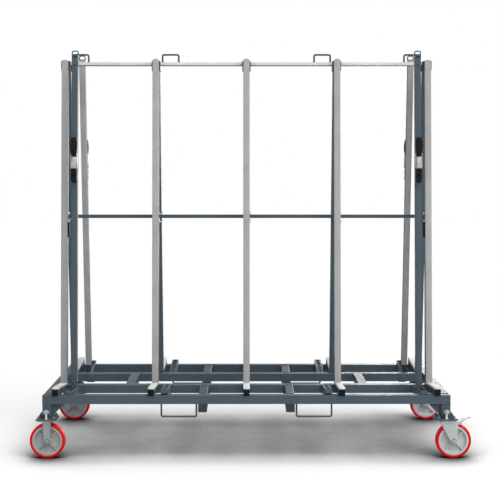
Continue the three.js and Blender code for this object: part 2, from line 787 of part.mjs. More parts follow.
function buildCasters() {
  const hub = hubGeometry();
  const tyre = tyreGeometry();
  const rigid = rigidFork();
  const swivel = swivelFork();
  const pedal = brakePedal();
  for (const side of sides) {
    for (const [name, hand] of [['left', -1], ['right', 1]]) {
      const corner = new THREE.Group();
      corner.position.set(hand * endBeamX, sideSign[side] * outerBeamY, 0);
      cart.add(corner);
      const turns = name === 'right';
      const wheelX = turns ? casterTrail : 0;
      add(corner, `caster_fork_${side}_${name}`, turns ? swivel : rigid, zinc);
      add(corner, `wheel_hub_${side}_${name}`, hub, castHub, wheelX, 0, wheelRadius);
      add(corner, `wheel_tyre_${side}_${name}`, tyre, redTyre, wheelX, 0, wheelRadius);
      if (turns) {
        add(corner, `brake_pedal_${side}_${name}`, pedal, zinc, pedalPivotX, 0, pedalPivotZ);
      }
    }
  }
}

buildOuterBeams();
buildInnerBeams();
buildEndFrames();
buildForkRails();
buildAFrames();
buildLinings();
buildRails();
buildPoles();
buildCasters();

export default cart;
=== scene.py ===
"""Looks of a double-sided sheet goods cart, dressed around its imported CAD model.

Places and sizes follow the CAD model. This script paints its steel nodes, rounds their edges
and makes the fine pieces: linings, clamp poles, ratchets, loops, keepers, wheels and fixings.
"""

from __future__ import annotations

import logging
import math
import random
from dataclasses import dataclass, field, replace
from enum import Enum
from functools import cached_property
from typing import Iterable, Mapping, Sequence, Union

import bmesh
import bpy
from mathutils import Matrix, Vector

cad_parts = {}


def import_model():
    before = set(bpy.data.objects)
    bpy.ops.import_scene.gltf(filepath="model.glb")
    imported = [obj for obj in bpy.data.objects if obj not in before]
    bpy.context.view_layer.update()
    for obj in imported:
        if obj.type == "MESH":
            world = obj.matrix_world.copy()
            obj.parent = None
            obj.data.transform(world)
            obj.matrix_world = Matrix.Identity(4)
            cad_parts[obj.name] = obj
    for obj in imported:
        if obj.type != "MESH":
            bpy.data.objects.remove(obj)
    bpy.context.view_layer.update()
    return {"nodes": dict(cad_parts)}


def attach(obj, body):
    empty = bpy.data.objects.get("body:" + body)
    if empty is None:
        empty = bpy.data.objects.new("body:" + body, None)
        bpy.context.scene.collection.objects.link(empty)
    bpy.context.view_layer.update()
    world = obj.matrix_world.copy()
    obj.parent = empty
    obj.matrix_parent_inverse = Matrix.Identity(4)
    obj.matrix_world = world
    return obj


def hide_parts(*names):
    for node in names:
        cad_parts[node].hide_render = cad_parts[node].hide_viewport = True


LOG = logging.getLogger("sheet_goods_cart")
SEAT_GAP = 0.0003
SHEET_EDGE = 0.0006
WELD_SEED = 11
SIDEWAYS = Matrix(((0, 0, 1, 0), (1, 0, 0, 0), (0, 1, 0, 0), (0, 0, 0, 1)))
Point2 = tuple[float, float]
Point3 = tuple[float, float, float]
Profile = tuple[Point2, ...]
Colour = tuple[float, float, float, float]
Form = bmesh.types.BMesh
Nodes = dict[str, bpy.types.Object]
Socket = bpy.types.NodeSocket
Value = Union[Socket, float, Colour]
BLACK: Colour = (0.0, 0.0, 0.0, 1.0)
WHITE: Colour = (1.0, 1.0, 1.0, 1.0)


class Side(Enum):
    """The two loading sides of the cart."""

    FRONT = "front"
    REAR = "rear"

    @property
    def sign(self) -> int:
        """Direction of this side along Y."""
        return -1 if self is Side.FRONT else 1


class Hand(Enum):
    """The two ends of the cart."""

    LEFT = "left"
    RIGHT = "right"

    @property
    def sign(self) -> int:
        """Direction of this end along X."""
        return -1 if self is Hand.LEFT else 1


class Slot(Enum):
    """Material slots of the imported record."""

    STEEL = "slate_paint"
    RAIL = "pale_rail"
    LINING = "grey_lining"
    ZINC = "zinc"
    HUB = "cast_hub"
    TYRE = "red_tyre"
    GRIP = "black_grip"


def linear(code: str) -> Colour:
    """Turns a display colour into the linear colour that shaders take.

    Args:
        code: Six hexadecimal digits.

    Returns:
        Red, green, blue and an alpha of one.
    """
    channels = [int(code[i : i + 2], 16) / 255 for i in (0, 2, 4)]
    red, green, blue = (
        c / 12.92 if c <= 0.04045 else ((c + 0.055) / 1.055) ** 2.4 for c in channels
    )
    return (red, green, blue, 1.0)


def turned(axis: str, degrees: float) -> Matrix:
    """Returns a rotation about one axis, as a 4 by 4 matrix."""
    return Matrix.Rotation(math.radians(degrees), 4, axis)


def at(x: float, y: float, z: float) -> Matrix:
    """Returns a move as a 4 by 4 matrix."""
    return Matrix.Translation((x, y, z))


def polar(radius: float, angle: float) -> Point2:
    """Returns the point at a radius and an angle in radians."""
    return (radius * math.cos(angle), radius * math.sin(angle))


def turns(count: int) -> list[float]:
    """Returns the angles that share a whole turn into equal steps."""
    return [2 * math.pi * k / count for k in range(count)]


def rectangle(low: Point2, high: Point2) -> list[Point2]:
    """Returns the outline of a rectangle from two opposite corners."""
    return [(low[0], low[1]), (high[0], low[1]), (high[0], high[1]), (low[0], high[1])]


def crowned(width: float, low: float, high: float, crown: float) -> list[Point2]:
    """Draws a strip with one crowned end.

    Args:
        width: Its width across X.
        low: Its square end in Y.
        high: The top of its crowned end in Y.
        crown: Rise of the crown.

    Returns:
        The outline.
    """
    half, facets = width / 2, 14
    angles = [math.pi * k / facets for k in range(facets + 1)]
    arc = [(half * math.cos(a), high - crown + crown * math.sin(a)) for a in angles]
    return [(-half, low), (half, low), *arc]


def arch_path(half: float, base: float, top: float, bend: float) -> list[Point3]:
    """Draws the middle line of a rod bent to an arch in X and Z.

    Args:
        half: Half the distance between its legs.
        base: Height of its ends.
        top: Height of its crossbar.
        bend: Bend radius.

    Returns:
        The path.
    """
    steps, rise = 8, math.copysign(1.0, top - base)
    path: list[Point3] = [(-half, 0, base)]
    for hand in (-1, 1):
        for step in range(steps + 1):
            share = step if hand < 0 else steps - step
            out, up = polar(bend, share / steps * math.pi / 2)
            path.append((hand * (half - bend + out), 0, top - rise * (bend - up)))
    path.append((half, 0, base))
    return path


@dataclass(frozen=True)
class CartFrame:
    """Places that the sub-assemblies share, in metres and degrees."""

    shift: float = -0.023
    lean: float = 5.2
    corner_y: float = 0.239
    corner_z: float = 0.379
    frames: int = 5
    frame_spacing: float = 0.542
    station: float = 1.009
    spare_station: float = 0.467
    keeper_stations: tuple[float, float] = (0.456, 0.998)
    outer_beam_y: float = 0.525
    inner_beam_y: float = 0.196
    end_beam_x: float = 1.133
    beam_size: float = 0.050
    beam_bottom: float = 0.312
    beam_top: float = 0.362
    flange_top: float = 0.230
    foot_end: float = 0.315285
    leg_width: float = 0.038
    leg_length: float = 1.918
    lining: float = 0.012
    foot_size: float = 0.035
    leg_top: float = 2.289106

    @property
    def numbers(self) -> range:
        """Numbers of the A-frames, from left to right."""
        return range(1, self.frames + 1)

    def frame_x(self, number: int) -> float:
        """Returns the place along the cart of an A-frame."""
        return (number - (self.frames + 1) / 2) * self.frame_spacing

    def up_leg(self, z: float) -> float:
        """Returns the length along a leg at which it reaches a height."""
        return (z - self.corner_z) / math.cos(math.radians(self.lean))

    def side(self, side: Side, x: float = 0.0, y: float = 0.0, z: float = 0.0) -> Matrix:
        """Gives the frame of one loading side, moved to a place on it.

        Args:
            side: The loading side.
            x: Place along the cart.
            y: Place outwards along the feet.
            z: Place up along the legs.

        Returns:
            A matrix whose Y runs outwards along the feet and Z up along the legs.
        """
        turn = turned("Z", 180 if side is Side.FRONT else 0)
        corner = at(0, self.corner_y, self.corner_z)
        origin = at(self.shift, 0, 0) @ turn @ corner @ turned("X", self.lean)
        return origin @ at(side.sign * x, y, z)


class NodeSheet:
    """Writes the node tree of a material or of the world."""

    def __init__(self, tree: bpy.types.NodeTree) -> None:
        """Takes the node tree to write."""
        self.tree = tree

    def feed(self, node: bpy.types.Node, inputs: Mapping[str | int, Value]) -> None:
        """Sets or links inputs of a node.

        Args:
            node: The node.
            inputs: A constant or a socket for each input.
        """
        for name, value in inputs.items():
            if isinstance(value, Socket):
                self.tree.links.new(value, node.inputs[name])
            else:
                node.inputs[name].default_value = value

    def add(self, kind: str, inputs: Mapping[str | int, Value] | None = None,
            **settings: str | int | bool) -> bpy.types.Node:
        """Adds a node.

        Args:
            kind: Its type.
            inputs: A constant or a socket for each input that isn't left as it is.
            **settings: Its other settings.

        Returns:
            The node.
        """
        node = self.tree.nodes.new(f"ShaderNode{kind}")
        for name, value in settings.items():
            setattr(node, name, value)
        self.feed(node, inputs or {})
        return node

    @cached_property
    def place(self) -> Socket:
        """The place on the surface, in object space."""
        return self.add("TexCoord").outputs["Object"]

    def noise(self, scale: float, detail: float) -> Socket:
        """Adds a noise pattern of so many spots per metre and octaves, and returns its value."""
        inputs = {"Vector": self.place, "Scale": scale, "Detail": detail}
        return self.add("TexNoise", inputs).outputs["Fac"]

    def cells(self, scale: float) -> Socket:
        """Adds a pattern of so many crystal cells per metre, and returns one grey per cell."""
        return self.add("TexVoronoi", {"Vector": self.place, "Scale": scale}).outputs["Color"]

    def spread(self, value: Socket, low: float, high: float, start: float = 0.3,
               end: float = 0.7) -> Socket:
        """Maps a value that runs from start to end to one that runs from low to high, clamped."""
        ranges = {"From Min": start, "From Max": end, "To Min": low, "To Max": high}
        return self.add("MapRange", {"Value": value, **ranges}).outputs["Result"]

    def math(self, operation: str, first: Value, second: Value, clamp: bool = False) -> Socket:
        """Works out a value from two others, kept between nought and one if clamp is True."""
        node = self.add("Math", {0: first, 1: second}, operation=operation, use_clamp=clamp)
        return node.outputs["Value"]

    def mix(self, share: Socket, first: Value, second: Value) -> Socket:
        """Mixes two colours by the share of the second, and returns the colour."""
        return self.add("Mix", {"Factor": share, 6: first, 7: second}, data_type="RGBA").outputs[2]

    def edges(self, radius: float) -> Socket:
        """Finds the edges of the solid by comparing its normal with a rounded one.

        Args:
            radius: Reach of an edge, in metres.

        Returns:
            One on edges and nought on flats.
        """
        rounded = self.add("Bevel", {"Radius": radius}, samples=4).outputs["Normal"]
        normal = self.add("NewGeometry").outputs["Normal"]
        match = self.add("VectorMath", {0: rounded, 1: normal}, operation="DOT_PRODUCT")
        return self.spread(match.outputs["Value"], low=1.0, high=0.0, start=0.80, end=0.985)

    def seen(self) -> Socket:
        """Finds the rays that show the backdrop, straight or by a reflection.

        Returns:
            One on those rays and nought on the rest.
        """
        rays = self.add("LightPath").outputs
        seen = rays["Is Camera Ray"]
        for name in ("Is Glossy Ray", "Is Transmission Ray"):
            seen = self.math("MAXIMUM", seen, rays[name])
        return seen


@dataclass(frozen=True)
class Finish:
    """A surface with two tones, a mottle between them and a fine grain."""

    name: str
    slot: Slot
    tone: str
    second_tone: str
    mottle: float = 4.0
    grain: float = 700.0
    grain_depth: float = 0.0002
    grain_strength: float = 0.25
    smooth: float = 0.42
    rough: float = 0.55
    gloss_fineness: float = 5.0
    metallic: float = 0.0
    specular: float = 0.4

    def material(self) -> bpy.types.Material:
        """Makes the material on first use.

        Returns:
            The material.
        """
        made = bpy.data.materials.get(self.name)
        if made:
            return made
        made = bpy.data.materials.new(self.name)
        made.use_nodes = True
        sheet = NodeSheet(made.node_tree)
        uneven = sheet.noise(self.mottle * self.gloss_fineness, detail=4)
        grain = {"Height": sheet.noise(self.grain, detail=2), "Distance": self.grain_depth,
                 "Strength": self.grain_strength}
        sheet.feed(made.node_tree.nodes["Principled BSDF"], {
            "Metallic": self.metallic,
            "Specular IOR Level": self.specular,
            "Base Color": self.tint(sheet),
            "Roughness": sheet.spread(uneven, self.smooth, self.rough),
            "Normal": sheet.add("Bump", grain).outputs["Normal"],
        })
        return made

    def tint(self, sheet: NodeSheet) -> Socket:
        """Mixes the two tones on the sheet and returns the colour."""
        share = sheet.spread(sheet.noise(self.mottle, detail=5), low=0.0, high=1.0)
        return sheet.mix(share, linear(self.tone), linear(self.second_tone))


@dataclass(frozen=True)
class WornPaint(Finish):
    """Powder coat with edges worn paler; on the strongly edged copy the pale edges are a painted
    highlight.
    """

    edge_tone: str = "8b959b"
    edge_reach: float = 0.0035
    edge_wear_and_highlight: float = 0.55
    patchiness: float = 0.55
    patches: float = 38.0

    def tint(self, sheet: NodeSheet) -> Socket:
        """Mixes the two tones and makes the edges paler, as wear, and on the strongly edged copy as
        a painted highlight.

        Args:
            sheet: The material being written.

        Returns:
            The colour.
        """
        least, patches = self.edge_wear_and_highlight - self.patchiness, sheet.noise(self.patches, detail=4)
        wear_and_highlight = sheet.spread(patches, least, self.edge_wear_and_highlight, start=0.45)
        share = sheet.math("MULTIPLY", sheet.edges(self.edge_reach), wear_and_highlight)
        return sheet.mix(share, super().tint(sheet), linear(self.edge_tone))


@dataclass(frozen=True)
class PlatedSteel(Finish):
    """Zinc plating with a faint crystal pattern."""

    cell: float = 90.0

    def tint(self, sheet: NodeSheet) -> Socket:
        """Mixes the two tones by crystal cell and returns the colour."""
        share = sheet.spread(sheet.cells(self.cell), low=0.0, high=1.0, start=0.1, end=0.9)
        return sheet.mix(share, linear(self.tone), linear(self.second_tone))


@dataclass(frozen=True)
class RolledTyre(Finish):
    """Tyre with floor dust in the pores of its tread."""

    dust: str = "8a2a26"
    pores: float = 120.0
    dustiness: float = 0.35

    def tint(self, sheet: NodeSheet) -> Socket:
        """Mixes the two tones, dusts the pores and returns the colour."""
        share = sheet.spread(sheet.noise(self.pores, detail=5), 0.0, self.dustiness,
                             start=0.55, end=0.8)
        return sheet.mix(share, super().tint(sheet), linear(self.dust))


STEEL = WornPaint("slate_powder_coat", Slot.STEEL, "4a565f", "505c65", rough=0.54, specular=0.05)
# Slate coat with strong pale edges: painted highlight of glare along the inner beams and the rear
# channel tops.
HIGHLIT_STEEL = replace(STEEL, name="slate_coat_painted_highlight", edge_tone="aab2b6", edge_reach=0.006,
                       edge_wear_and_highlight=0.95)
# Darker copy of the slate coat: painted shade on the fork rails and in the pole slots.
SHADED_STEEL = replace(STEEL, name="slate_coat_painted_shade", tone="343d44", second_tone="3a444b")
RAIL = WornPaint("pale_rail_coat", Slot.RAIL, "d8d8d6", "dfdfdd", edge_tone="eaeae9")
LINING = Finish("grey_lining_rubber", Slot.LINING, "a4a4a5", "afafaf", mottle=9, grain=1500,
                grain_depth=0.0003, grain_strength=0.4, smooth=0.72, rough=0.9, specular=0.15)
# Paler copy of the lining for the feet: painted light on their upward faces.
TOP_LIT_LINING = replace(LINING, name="lining_rubber_painted_top_light", tone="d0d0cf", second_tone="dededd",
                        smooth=0.66, rough=0.86)
ZINC = PlatedSteel("zinc_plate", Slot.ZINC, "9f9d9a", "aeaca9", metallic=0.3, rough=0.56,
                   specular=0.3)
# The paler zinc copy is painted light on the right-hand forks and pedals; the dull copy is painted
# shade on the left-hand forks and also coats the corner pin heads.
LIT_ZINC = PlatedSteel("zinc_plate_painted_light", Slot.ZINC, "aaadaf", "b7babb", metallic=0.4, smooth=0.34,
                        rough=0.5)
DULL_ZINC = PlatedSteel("dull_zinc_plate", Slot.ZINC, "8d9193", "9a9da0", metallic=0.3, smooth=0.4)
BRIGHT = PlatedSteel("bright_zinc", Slot.ZINC, "d4d6d7", "e2e3e4", metallic=0.55, smooth=0.24,
                     rough=0.36)
BOLT = PlatedSteel("dull_zinc_fixing", Slot.ZINC, "5b6368", "757c81", metallic=0.7, smooth=0.34,
                   rough=0.5)
# The hub coat comes in two copies: the paler one is painted light on the right-hand wheels, the
# base one painted shade on the left-hand wheels.
HUB = Finish("cast_hub_coat", Slot.HUB, "9c9f9f", "a9abac", mottle=18, grain=420,
             grain_depth=0.0004, grain_strength=0.4, rough=0.58, specular=0.3)
LIT_HUB = replace(HUB, name="hub_coat_painted_light", tone="b9bbbb", second_tone="c4c5c5")
TYRE = RolledTyre("red_polyurethane", Slot.TYRE, "d80c0e", "e31313", mottle=22, smooth=0.40,
                  rough=0.54, specular=0.08)
GRIP = Finish("black_moulding", Slot.GRIP, "0c0d0f", "141518", mottle=40, grain=1800,
              grain_depth=0.0003, grain_strength=0.5, smooth=0.48, rough=0.66, specular=0.1)
HANDLE = replace(GRIP, name="glossy_black_moulding", tone="1b1a1a", second_tone="282625",
                 grain_depth=0.0002, grain_strength=0.3, smooth=0.36, rough=0.48, specular=0.05)


@dataclass
class Piece:
    """One visible piece, built at rest in the shared frame and carried by a body."""

    name: str
    body: str
    finish: Finish
    stands_for: tuple[str, ...] = ()
    crease: float = 35.0
    mesh: Form = field(default_factory=bmesh.new)

    def _take(self, part: Form, place: Matrix) -> None:
        """Adds a closed form to the piece.

        Args:
            part: The form, which is used up.
            place: Where it goes.
        """
        bmesh.ops.recalc_face_normals(part, faces=part.faces[:])
        part.transform(place)
        data = bpy.data.meshes.new("form")
        part.to_mesh(data)
        part.free()
        self.mesh.from_mesh(data)
        bpy.data.meshes.remove(data)

    @staticmethod
    def _skin(part: Form, rows: Sequence[Sequence[bmesh.types.BMVert]], ring: bool) -> None:
        """Joins rows of points into a closed form.

        Args:
            part: The form.
            rows: The rows, all of one length.
            ring: True where the last row meets the first, and False where both are capped.
        """
        pairs = list(zip(rows, rows[1:]))
        if ring:
            pairs.append((rows[-1], rows[0]))
        else:
            part.faces.new(rows[0][::-1])
            part.faces.new(rows[-1])
        for first, second in pairs:
            for i in range(len(first)):
                j = (i + 1) % len(first)
                part.faces.new((first[i], first[j], second[j], second[i]))

    def prism(self, outline: Sequence[Point2], depth: float, place: Matrix, rounding: float,
              steps: int = 2) -> None:
        """Adds an outline pushed along Z, with rounded edges.

        Args:
            outline: Points in X and Y, in order.
            depth: Height along Z.
            place: Where it goes.
            rounding: Rounding of its edges.
            steps: Facets across the rounding.
        """
        part, sharp_angle = bmesh.new(), math.radians(30)
        rows = [[part.verts.new((x, y, z)) for x, y in outline] for z in (0, depth)]
        self._skin(part, rows, ring=False)
        bmesh.ops.recalc_face_normals(part, faces=part.faces[:])
        sharp = [e for e in part.edges if e.calc_face_angle() > sharp_angle]
        bmesh.ops.bevel(part, geom=sharp, offset=rounding, segments=steps, profile=0.5,
                        affect="EDGES", clamp_overlap=True)
        self._take(part, place)

    def block(self, low: Point3, high: Point3, place: Matrix, rounding: float,
              steps: int = 2) -> None:
        """Adds a bar between its lowest and highest corners, with rounded edges."""
        outline = rectangle(low[:2], high[:2])
        self.prism(outline, high[2] - low[2], place @ at(0, 0, low[2]), rounding, steps)

    def lathe(self, profile: Sequence[Point2], place: Matrix, facets: int,
              ring: bool = False) -> None:
        """Adds a turned form about Z.

        Args:
            profile: Radius and height of each point.
            place: Where it goes.
            facets: Facets round it.
            ring: True where the profile closes on itself and leaves a hole.
        """
        part = bmesh.new()
        rows = [[part.verts.new((*polar(radius, a), height)) for a in turns(facets)]
                for radius, height in profile]
        self._skin(part, rows, ring)
        self._take(part, place)

    def sweep(self, path: Sequence[Point3], radius: float | Sequence[float], place: Matrix,
              sides: int) -> None:
        """Adds a round rod along a path.

        Args:
            path: Points of its middle line.
            radius: Its radius, or one for each point.
            place: Where it goes.
            sides: Facets round it.
        """
        points = [Vector(p) for p in path]
        radii = [radius] * len(points) if isinstance(radius, float) else list(radius)
        part = bmesh.new()
        rows, across = [], None
        for i, point in enumerate(points):
            along = (points[min(i + 1, len(points) - 1)] - points[max(i - 1, 0)]).normalized()
            guess = across or along.orthogonal()
            across = (guess - along * guess.dot(along)).normalized()
            other = along.cross(across)
            spokes = [across * math.cos(a) + other * math.sin(a) for a in turns(sides)]
            rows.append([part.verts.new(point + radii[i] * spoke) for spoke in spokes])
        self._skin(part, rows, ring=False)
        self._take(part, place)

    def bolt(self, place: Matrix, across: float, height: float, stub: float = 0.0) -> None:
        """Adds a hexagon head on its washer, standing along Z.

        Args:
            place: Middle of the washer's underside.
            across: Width across the corners.
            height: Height of the head.
            stub: Length of thread that stands above it.
        """
        washer, edge, chamfer = 0.0015, 0.0008, 0.0012
        brim, thread, tip = across * 0.66, across * 0.27, across * 0.2
        self.lathe([(brim, 0), (brim, washer)], place, facets=24)
        seat, top = place @ at(0, 0, washer), height + stub
        self.prism([polar(across / 2, a) for a in turns(6)], height, seat, edge)
        if stub:
            self.lathe([(thread, 0), (thread, top), (tip, top + chamfer)], seat, facets=16)

    def build(self) -> None:
        """Turns the forms into an object that rides on its body."""
        data = bpy.data.meshes.new(self.name)
        self.mesh.to_mesh(data)
        self.mesh.free()
        data.materials.append(self.finish.material())
        data.shade_smooth()
        data.set_sharp_from_angle(angle=math.radians(self.crease))
        made = bpy.data.objects.new(self.name, data)
        bpy.context.scene.collection.objects.link(made)
        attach(made, self.body)
        if self.stands_for:
            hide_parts(*self.stands_for)
        LOG.info("piece %s on %s, %d faces", self.name, self.body, len(data.polygons))


@dataclass(frozen=True)
class SteelDressing:
    """Paint and rounded edges for nodes of the CAD model that stay in view."""

    finish: Finish
    rounding: float
    steps: int = 2
    weld_reach: float = 0.00002
    flat_angle: float = 0.6
    sharp_angle: float = 32.0

    def dress(self, nodes: Nodes, names: Iterable[str]) -> None:
        """Paints nodes and rounds their edges with modifiers.

        Args:
            nodes: The CAD nodes by name.
            names: The nodes to dress.
        """
        for name in names:
            node = nodes[name]
            node.data.materials.clear()
            node.data.materials.append(self.finish.material())
            weld = node.modifiers.new("closed_shell", "WELD")
            weld.merge_threshold = self.weld_reach
            flat = node.modifiers.new("plain_faces", "DECIMATE")
            flat.decimate_type = "DISSOLVE"
            flat.angle_limit = math.radians(self.flat_angle)
            edge = node.modifiers.new("rounded_edges", "BEVEL")
            edge.width = self.rounding
            edge.segments = self.steps
            edge.limit_method = "ANGLE"
            edge.angle_limit = math.radians(self.sharp_angle)
            edge.harden_normals = True
            edge.use_clamp_overlap = True
            LOG.info("dressed %s", name)


@dataclass(frozen=True)
class RodLoop:
    """A rod bent to an arch, with a weld collar round each foot where it has one."""

    rod: float
    width: float
    bend: float
    sink: float = 0.0
    collar: Profile = ()
    sides: int = 16

    def add(self, piece: Piece, place: Matrix, seat: float, edge: float) -> None:
        """Adds the loop to a piece.

        Args:
            piece: The piece that takes it.
            place: Frame of the loop, which stands in X and Z.
            seat: Height of the surface that it is welded to.
            edge: Height of its outer edge.
        """
        reach = (self.width - self.rod) / 2
        crest = edge - math.copysign(self.rod / 2, edge - seat)
        path = arch_path(reach, seat - self.sink, crest, self.bend)
        piece.sweep(path, self.rod / 2, place, self.sides)
        collar = [(self.rod * share, z) for share, z in self.collar]
        for x in (-reach, reach) if collar else ():
            piece.lathe(collar, place @ at(x, 0, seat), facets=20)


@dataclass
class Corner:
    """What belongs to one loading side at one end of the cart."""

    frame: CartFrame
    side: Side
    hand: Hand

    @property
    def tag(self) -> str:
        """Side and end, as used in names."""
        return f"{self.side.value}_{self.hand.value}"

    @property
    def post(self) -> Point2:
        """Place of the corner post in X and Y."""
        f = self.frame
        return (self.hand.sign * f.end_beam_x + f.shift, self.side.sign * f.outer_beam_y)


@dataclass
class BaseCorner(Corner):
    """Fine pieces of the base at one corner: loop, bolts, pin and pole channels."""

    loop: RodLoop = RodLoop(rod=0.0105, width=0.210, bend=0.010,
                            collar=((0.5, -0.006), (0.72, -0.002), (0.8, 0.0)))
    loop_x: float = 0.385
    loop_drop: float = 0.081
    bolt_reach: float = 0.043
    bolt_size: Point3 = (0.021, 0.010, 0.006)
    pin_reach: float = 0.0443
    pin_radius: float = 0.0064
    pin_height: float = 0.0318
    pin_washer: Point2 = (0.011, 0.002)
    pin_chamfer: float = 0.001
    pin_head_radius: float = 0.0195
    pin_head_rim: float = 0.008
    pin_head_height: float = 0.0223
    pin_dome_steps: int = 9
    pin_dome_angle: float = 86.0
    guide_inner: float = 0.0180
    guide_wall: float = 0.0025
    guide_low: float = -0.0358
    guide_high: float = -0.0130
    guide_start: float = -0.018
    guide_end: float = 0.296
    guide_step: float = 0.006
    guide_foot: float = 0.0085
    bracket_x: float = 0.9775
    bracket_width: float = 0.045
    bracket_plate: float = 0.005
    bracket_drop: float = 0.0035
    bracket_inset: float = 0.002
    bracket_edge: float = 0.0012
    strip_inset: float = 0.0004
    strip_plate: float = 0.003
    strip_edge: float = 0.0005
    slot_margin: float = 0.0075
    rungs: int = 6
    rung_length: float = 0.014

    def build(self) -> None:
        """Makes every fine piece of the corner."""
        self.fork_loop()
        self.flange_bolts()
        self.corner_pin()
        self.pole_guide(self.frame.station, slotted=False)
        self.pole_guide(self.frame.spare_station, slotted=True)
        self.guide_bracket()

    def fork_loop(self) -> None:
        """Makes the loop that keeps a fork tine in its pocket."""
        f, name = self.frame, f"fork_loop_{self.tag}"
        place = at(self.hand.sign * self.loop_x + f.shift, self.side.sign * f.outer_beam_y, 0)
        piece = Piece(f"{name}_rod", "base", STEEL, (name,))
        self.loop.add(piece, place, f.beam_bottom - SEAT_GAP, f.beam_bottom - self.loop_drop)
        piece.build()

    def flange_bolts(self) -> None:
        """Makes the four bolts that hold a caster to its flange."""
        piece = Piece(f"flange_bolts_{self.tag}", "base", BOLT)
        middle = at(*self.post, self.frame.flange_top)
        for x in (-self.bolt_reach, self.bolt_reach):
            for y in (-self.bolt_reach, self.bolt_reach):
                piece.bolt(middle @ at(x, y, 0), *self.bolt_size)
        piece.build()

    def corner_pin(self) -> None:
        """Makes the bright pin with a domed head on the outer edge of a flange."""
        x, y = self.post
        place = at(x, y + self.side.sign * self.pin_reach, self.frame.flange_top)
        (brim, thickness), chamfer, facets = self.pin_washer, self.pin_chamfer, 40
        stem = Piece(f"corner_pin_{self.tag}", "base", BRIGHT, crease=50)
        stem.lathe([(brim, 0.0), (brim, thickness), (self.pin_radius, thickness + chamfer),
                    (self.pin_radius, self.pin_height)], place, facets)
        stem.build()
        radius, base = self.pin_head_radius, self.pin_height
        rim, dome = base + self.pin_head_rim, self.pin_head_height - self.pin_head_rim
        profile = [(radius - chamfer, base), (radius, base + chamfer)]
        for k in range(self.pin_dome_steps + 1):
            angle = k / self.pin_dome_steps * math.radians(self.pin_dome_angle)
            profile.append((radius * math.cos(angle), rim + dome * math.sin(angle)))
        cap = Piece(f"corner_pin_head_{self.tag}", "base", DULL_ZINC, crease=50)
        cap.lathe(profile, place, facets)
        cap.build()

    def pole_guide(self, station: float, slotted: bool) -> None:
        """Makes the raised walls of a pole channel, with its end plate or its slotted strip.

        Args:
            station: Place of the channel from the middle of the cart.
            slotted: True for a channel that is closed by a slotted strip.
        """
        kind = "spare_guide" if slotted else "pole_guide"
        # Rear pole channels and the rear right spare channel take pale edges: painted highlight.
        wear_and_highlight = self.side is Side.REAR and (self.hand is Hand.RIGHT or not slotted)
        piece = Piece(f"{kind}_{self.tag}", "base", HIGHLIT_STEEL if wear_and_highlight else STEEL)
        place = self.frame.side(self.side, self.hand.sign * station)
        half, outer, end = self.guide_inner, self.guide_inner + self.guide_wall, self.guide_end
        top = self.guide_high if slotted else self.guide_high - self.guide_step
        start, low = self.guide_start, self.guide_low
        for left, right in ((-outer, -half), (half, outer)):
            piece.block((left, start, low), (right, end, top), place, SHEET_EDGE)
        if slotted:
            self.slotted_strip(piece, place)
        else:
            near, foot = end - self.guide_wall, low - self.guide_foot
            piece.block((-outer, near, foot), (outer, end, top), place, SHEET_EDGE)
        piece.build()

    def slotted_strip(self, piece: Piece, place: Matrix) -> None:
        """Closes a spare channel with a slotted strip, a floor and an end plate.

        Args:
            piece: The piece that takes it.
            place: Frame of the channel.
        """
        half, start, end, low = self.guide_inner, self.guide_start, self.guide_end, self.guide_low
        top = self.guide_high - self.strip_inset
        bottom, floor, rail = top - self.strip_plate, low + self.guide_wall, half - self.slot_margin
        pitch = (end - start - self.rung_length) / (self.rungs - 1)
        blocks = [((-half, start, bottom), (-rail, end, top)),
                  ((rail, start, bottom), (half, end, top))]
        for k in range(self.rungs):
            near = start + k * pitch
            blocks.append(((-rail, near, bottom), (rail, near + self.rung_length, top)))
        blocks.append(((-half, start, low), (half, end, floor)))
        blocks.append(((-half, end - self.guide_wall, floor), (half, end, bottom)))
        for corner, opposite in blocks:
            piece.block(corner, opposite, place, self.strip_edge)

    def guide_bracket(self) -> None:
        """Makes the plate on the inner beam at the inner end of a pole channel."""
        f, half, reach = self.frame, self.bracket_width / 2, self.bracket_plate / 2
        y = f.inner_beam_y - f.beam_size / 2 - SEAT_GAP - reach
        place = at(self.hand.sign * self.bracket_x + f.shift, self.side.sign * y, 0)
        low, high = f.beam_bottom - self.bracket_drop, f.beam_top - self.bracket_inset
        piece = Piece(f"guide_bracket_{self.tag}", "base", STEEL)
        piece.block((-half, -reach, low), (half, reach, high), place, self.bracket_edge)
        piece.build()


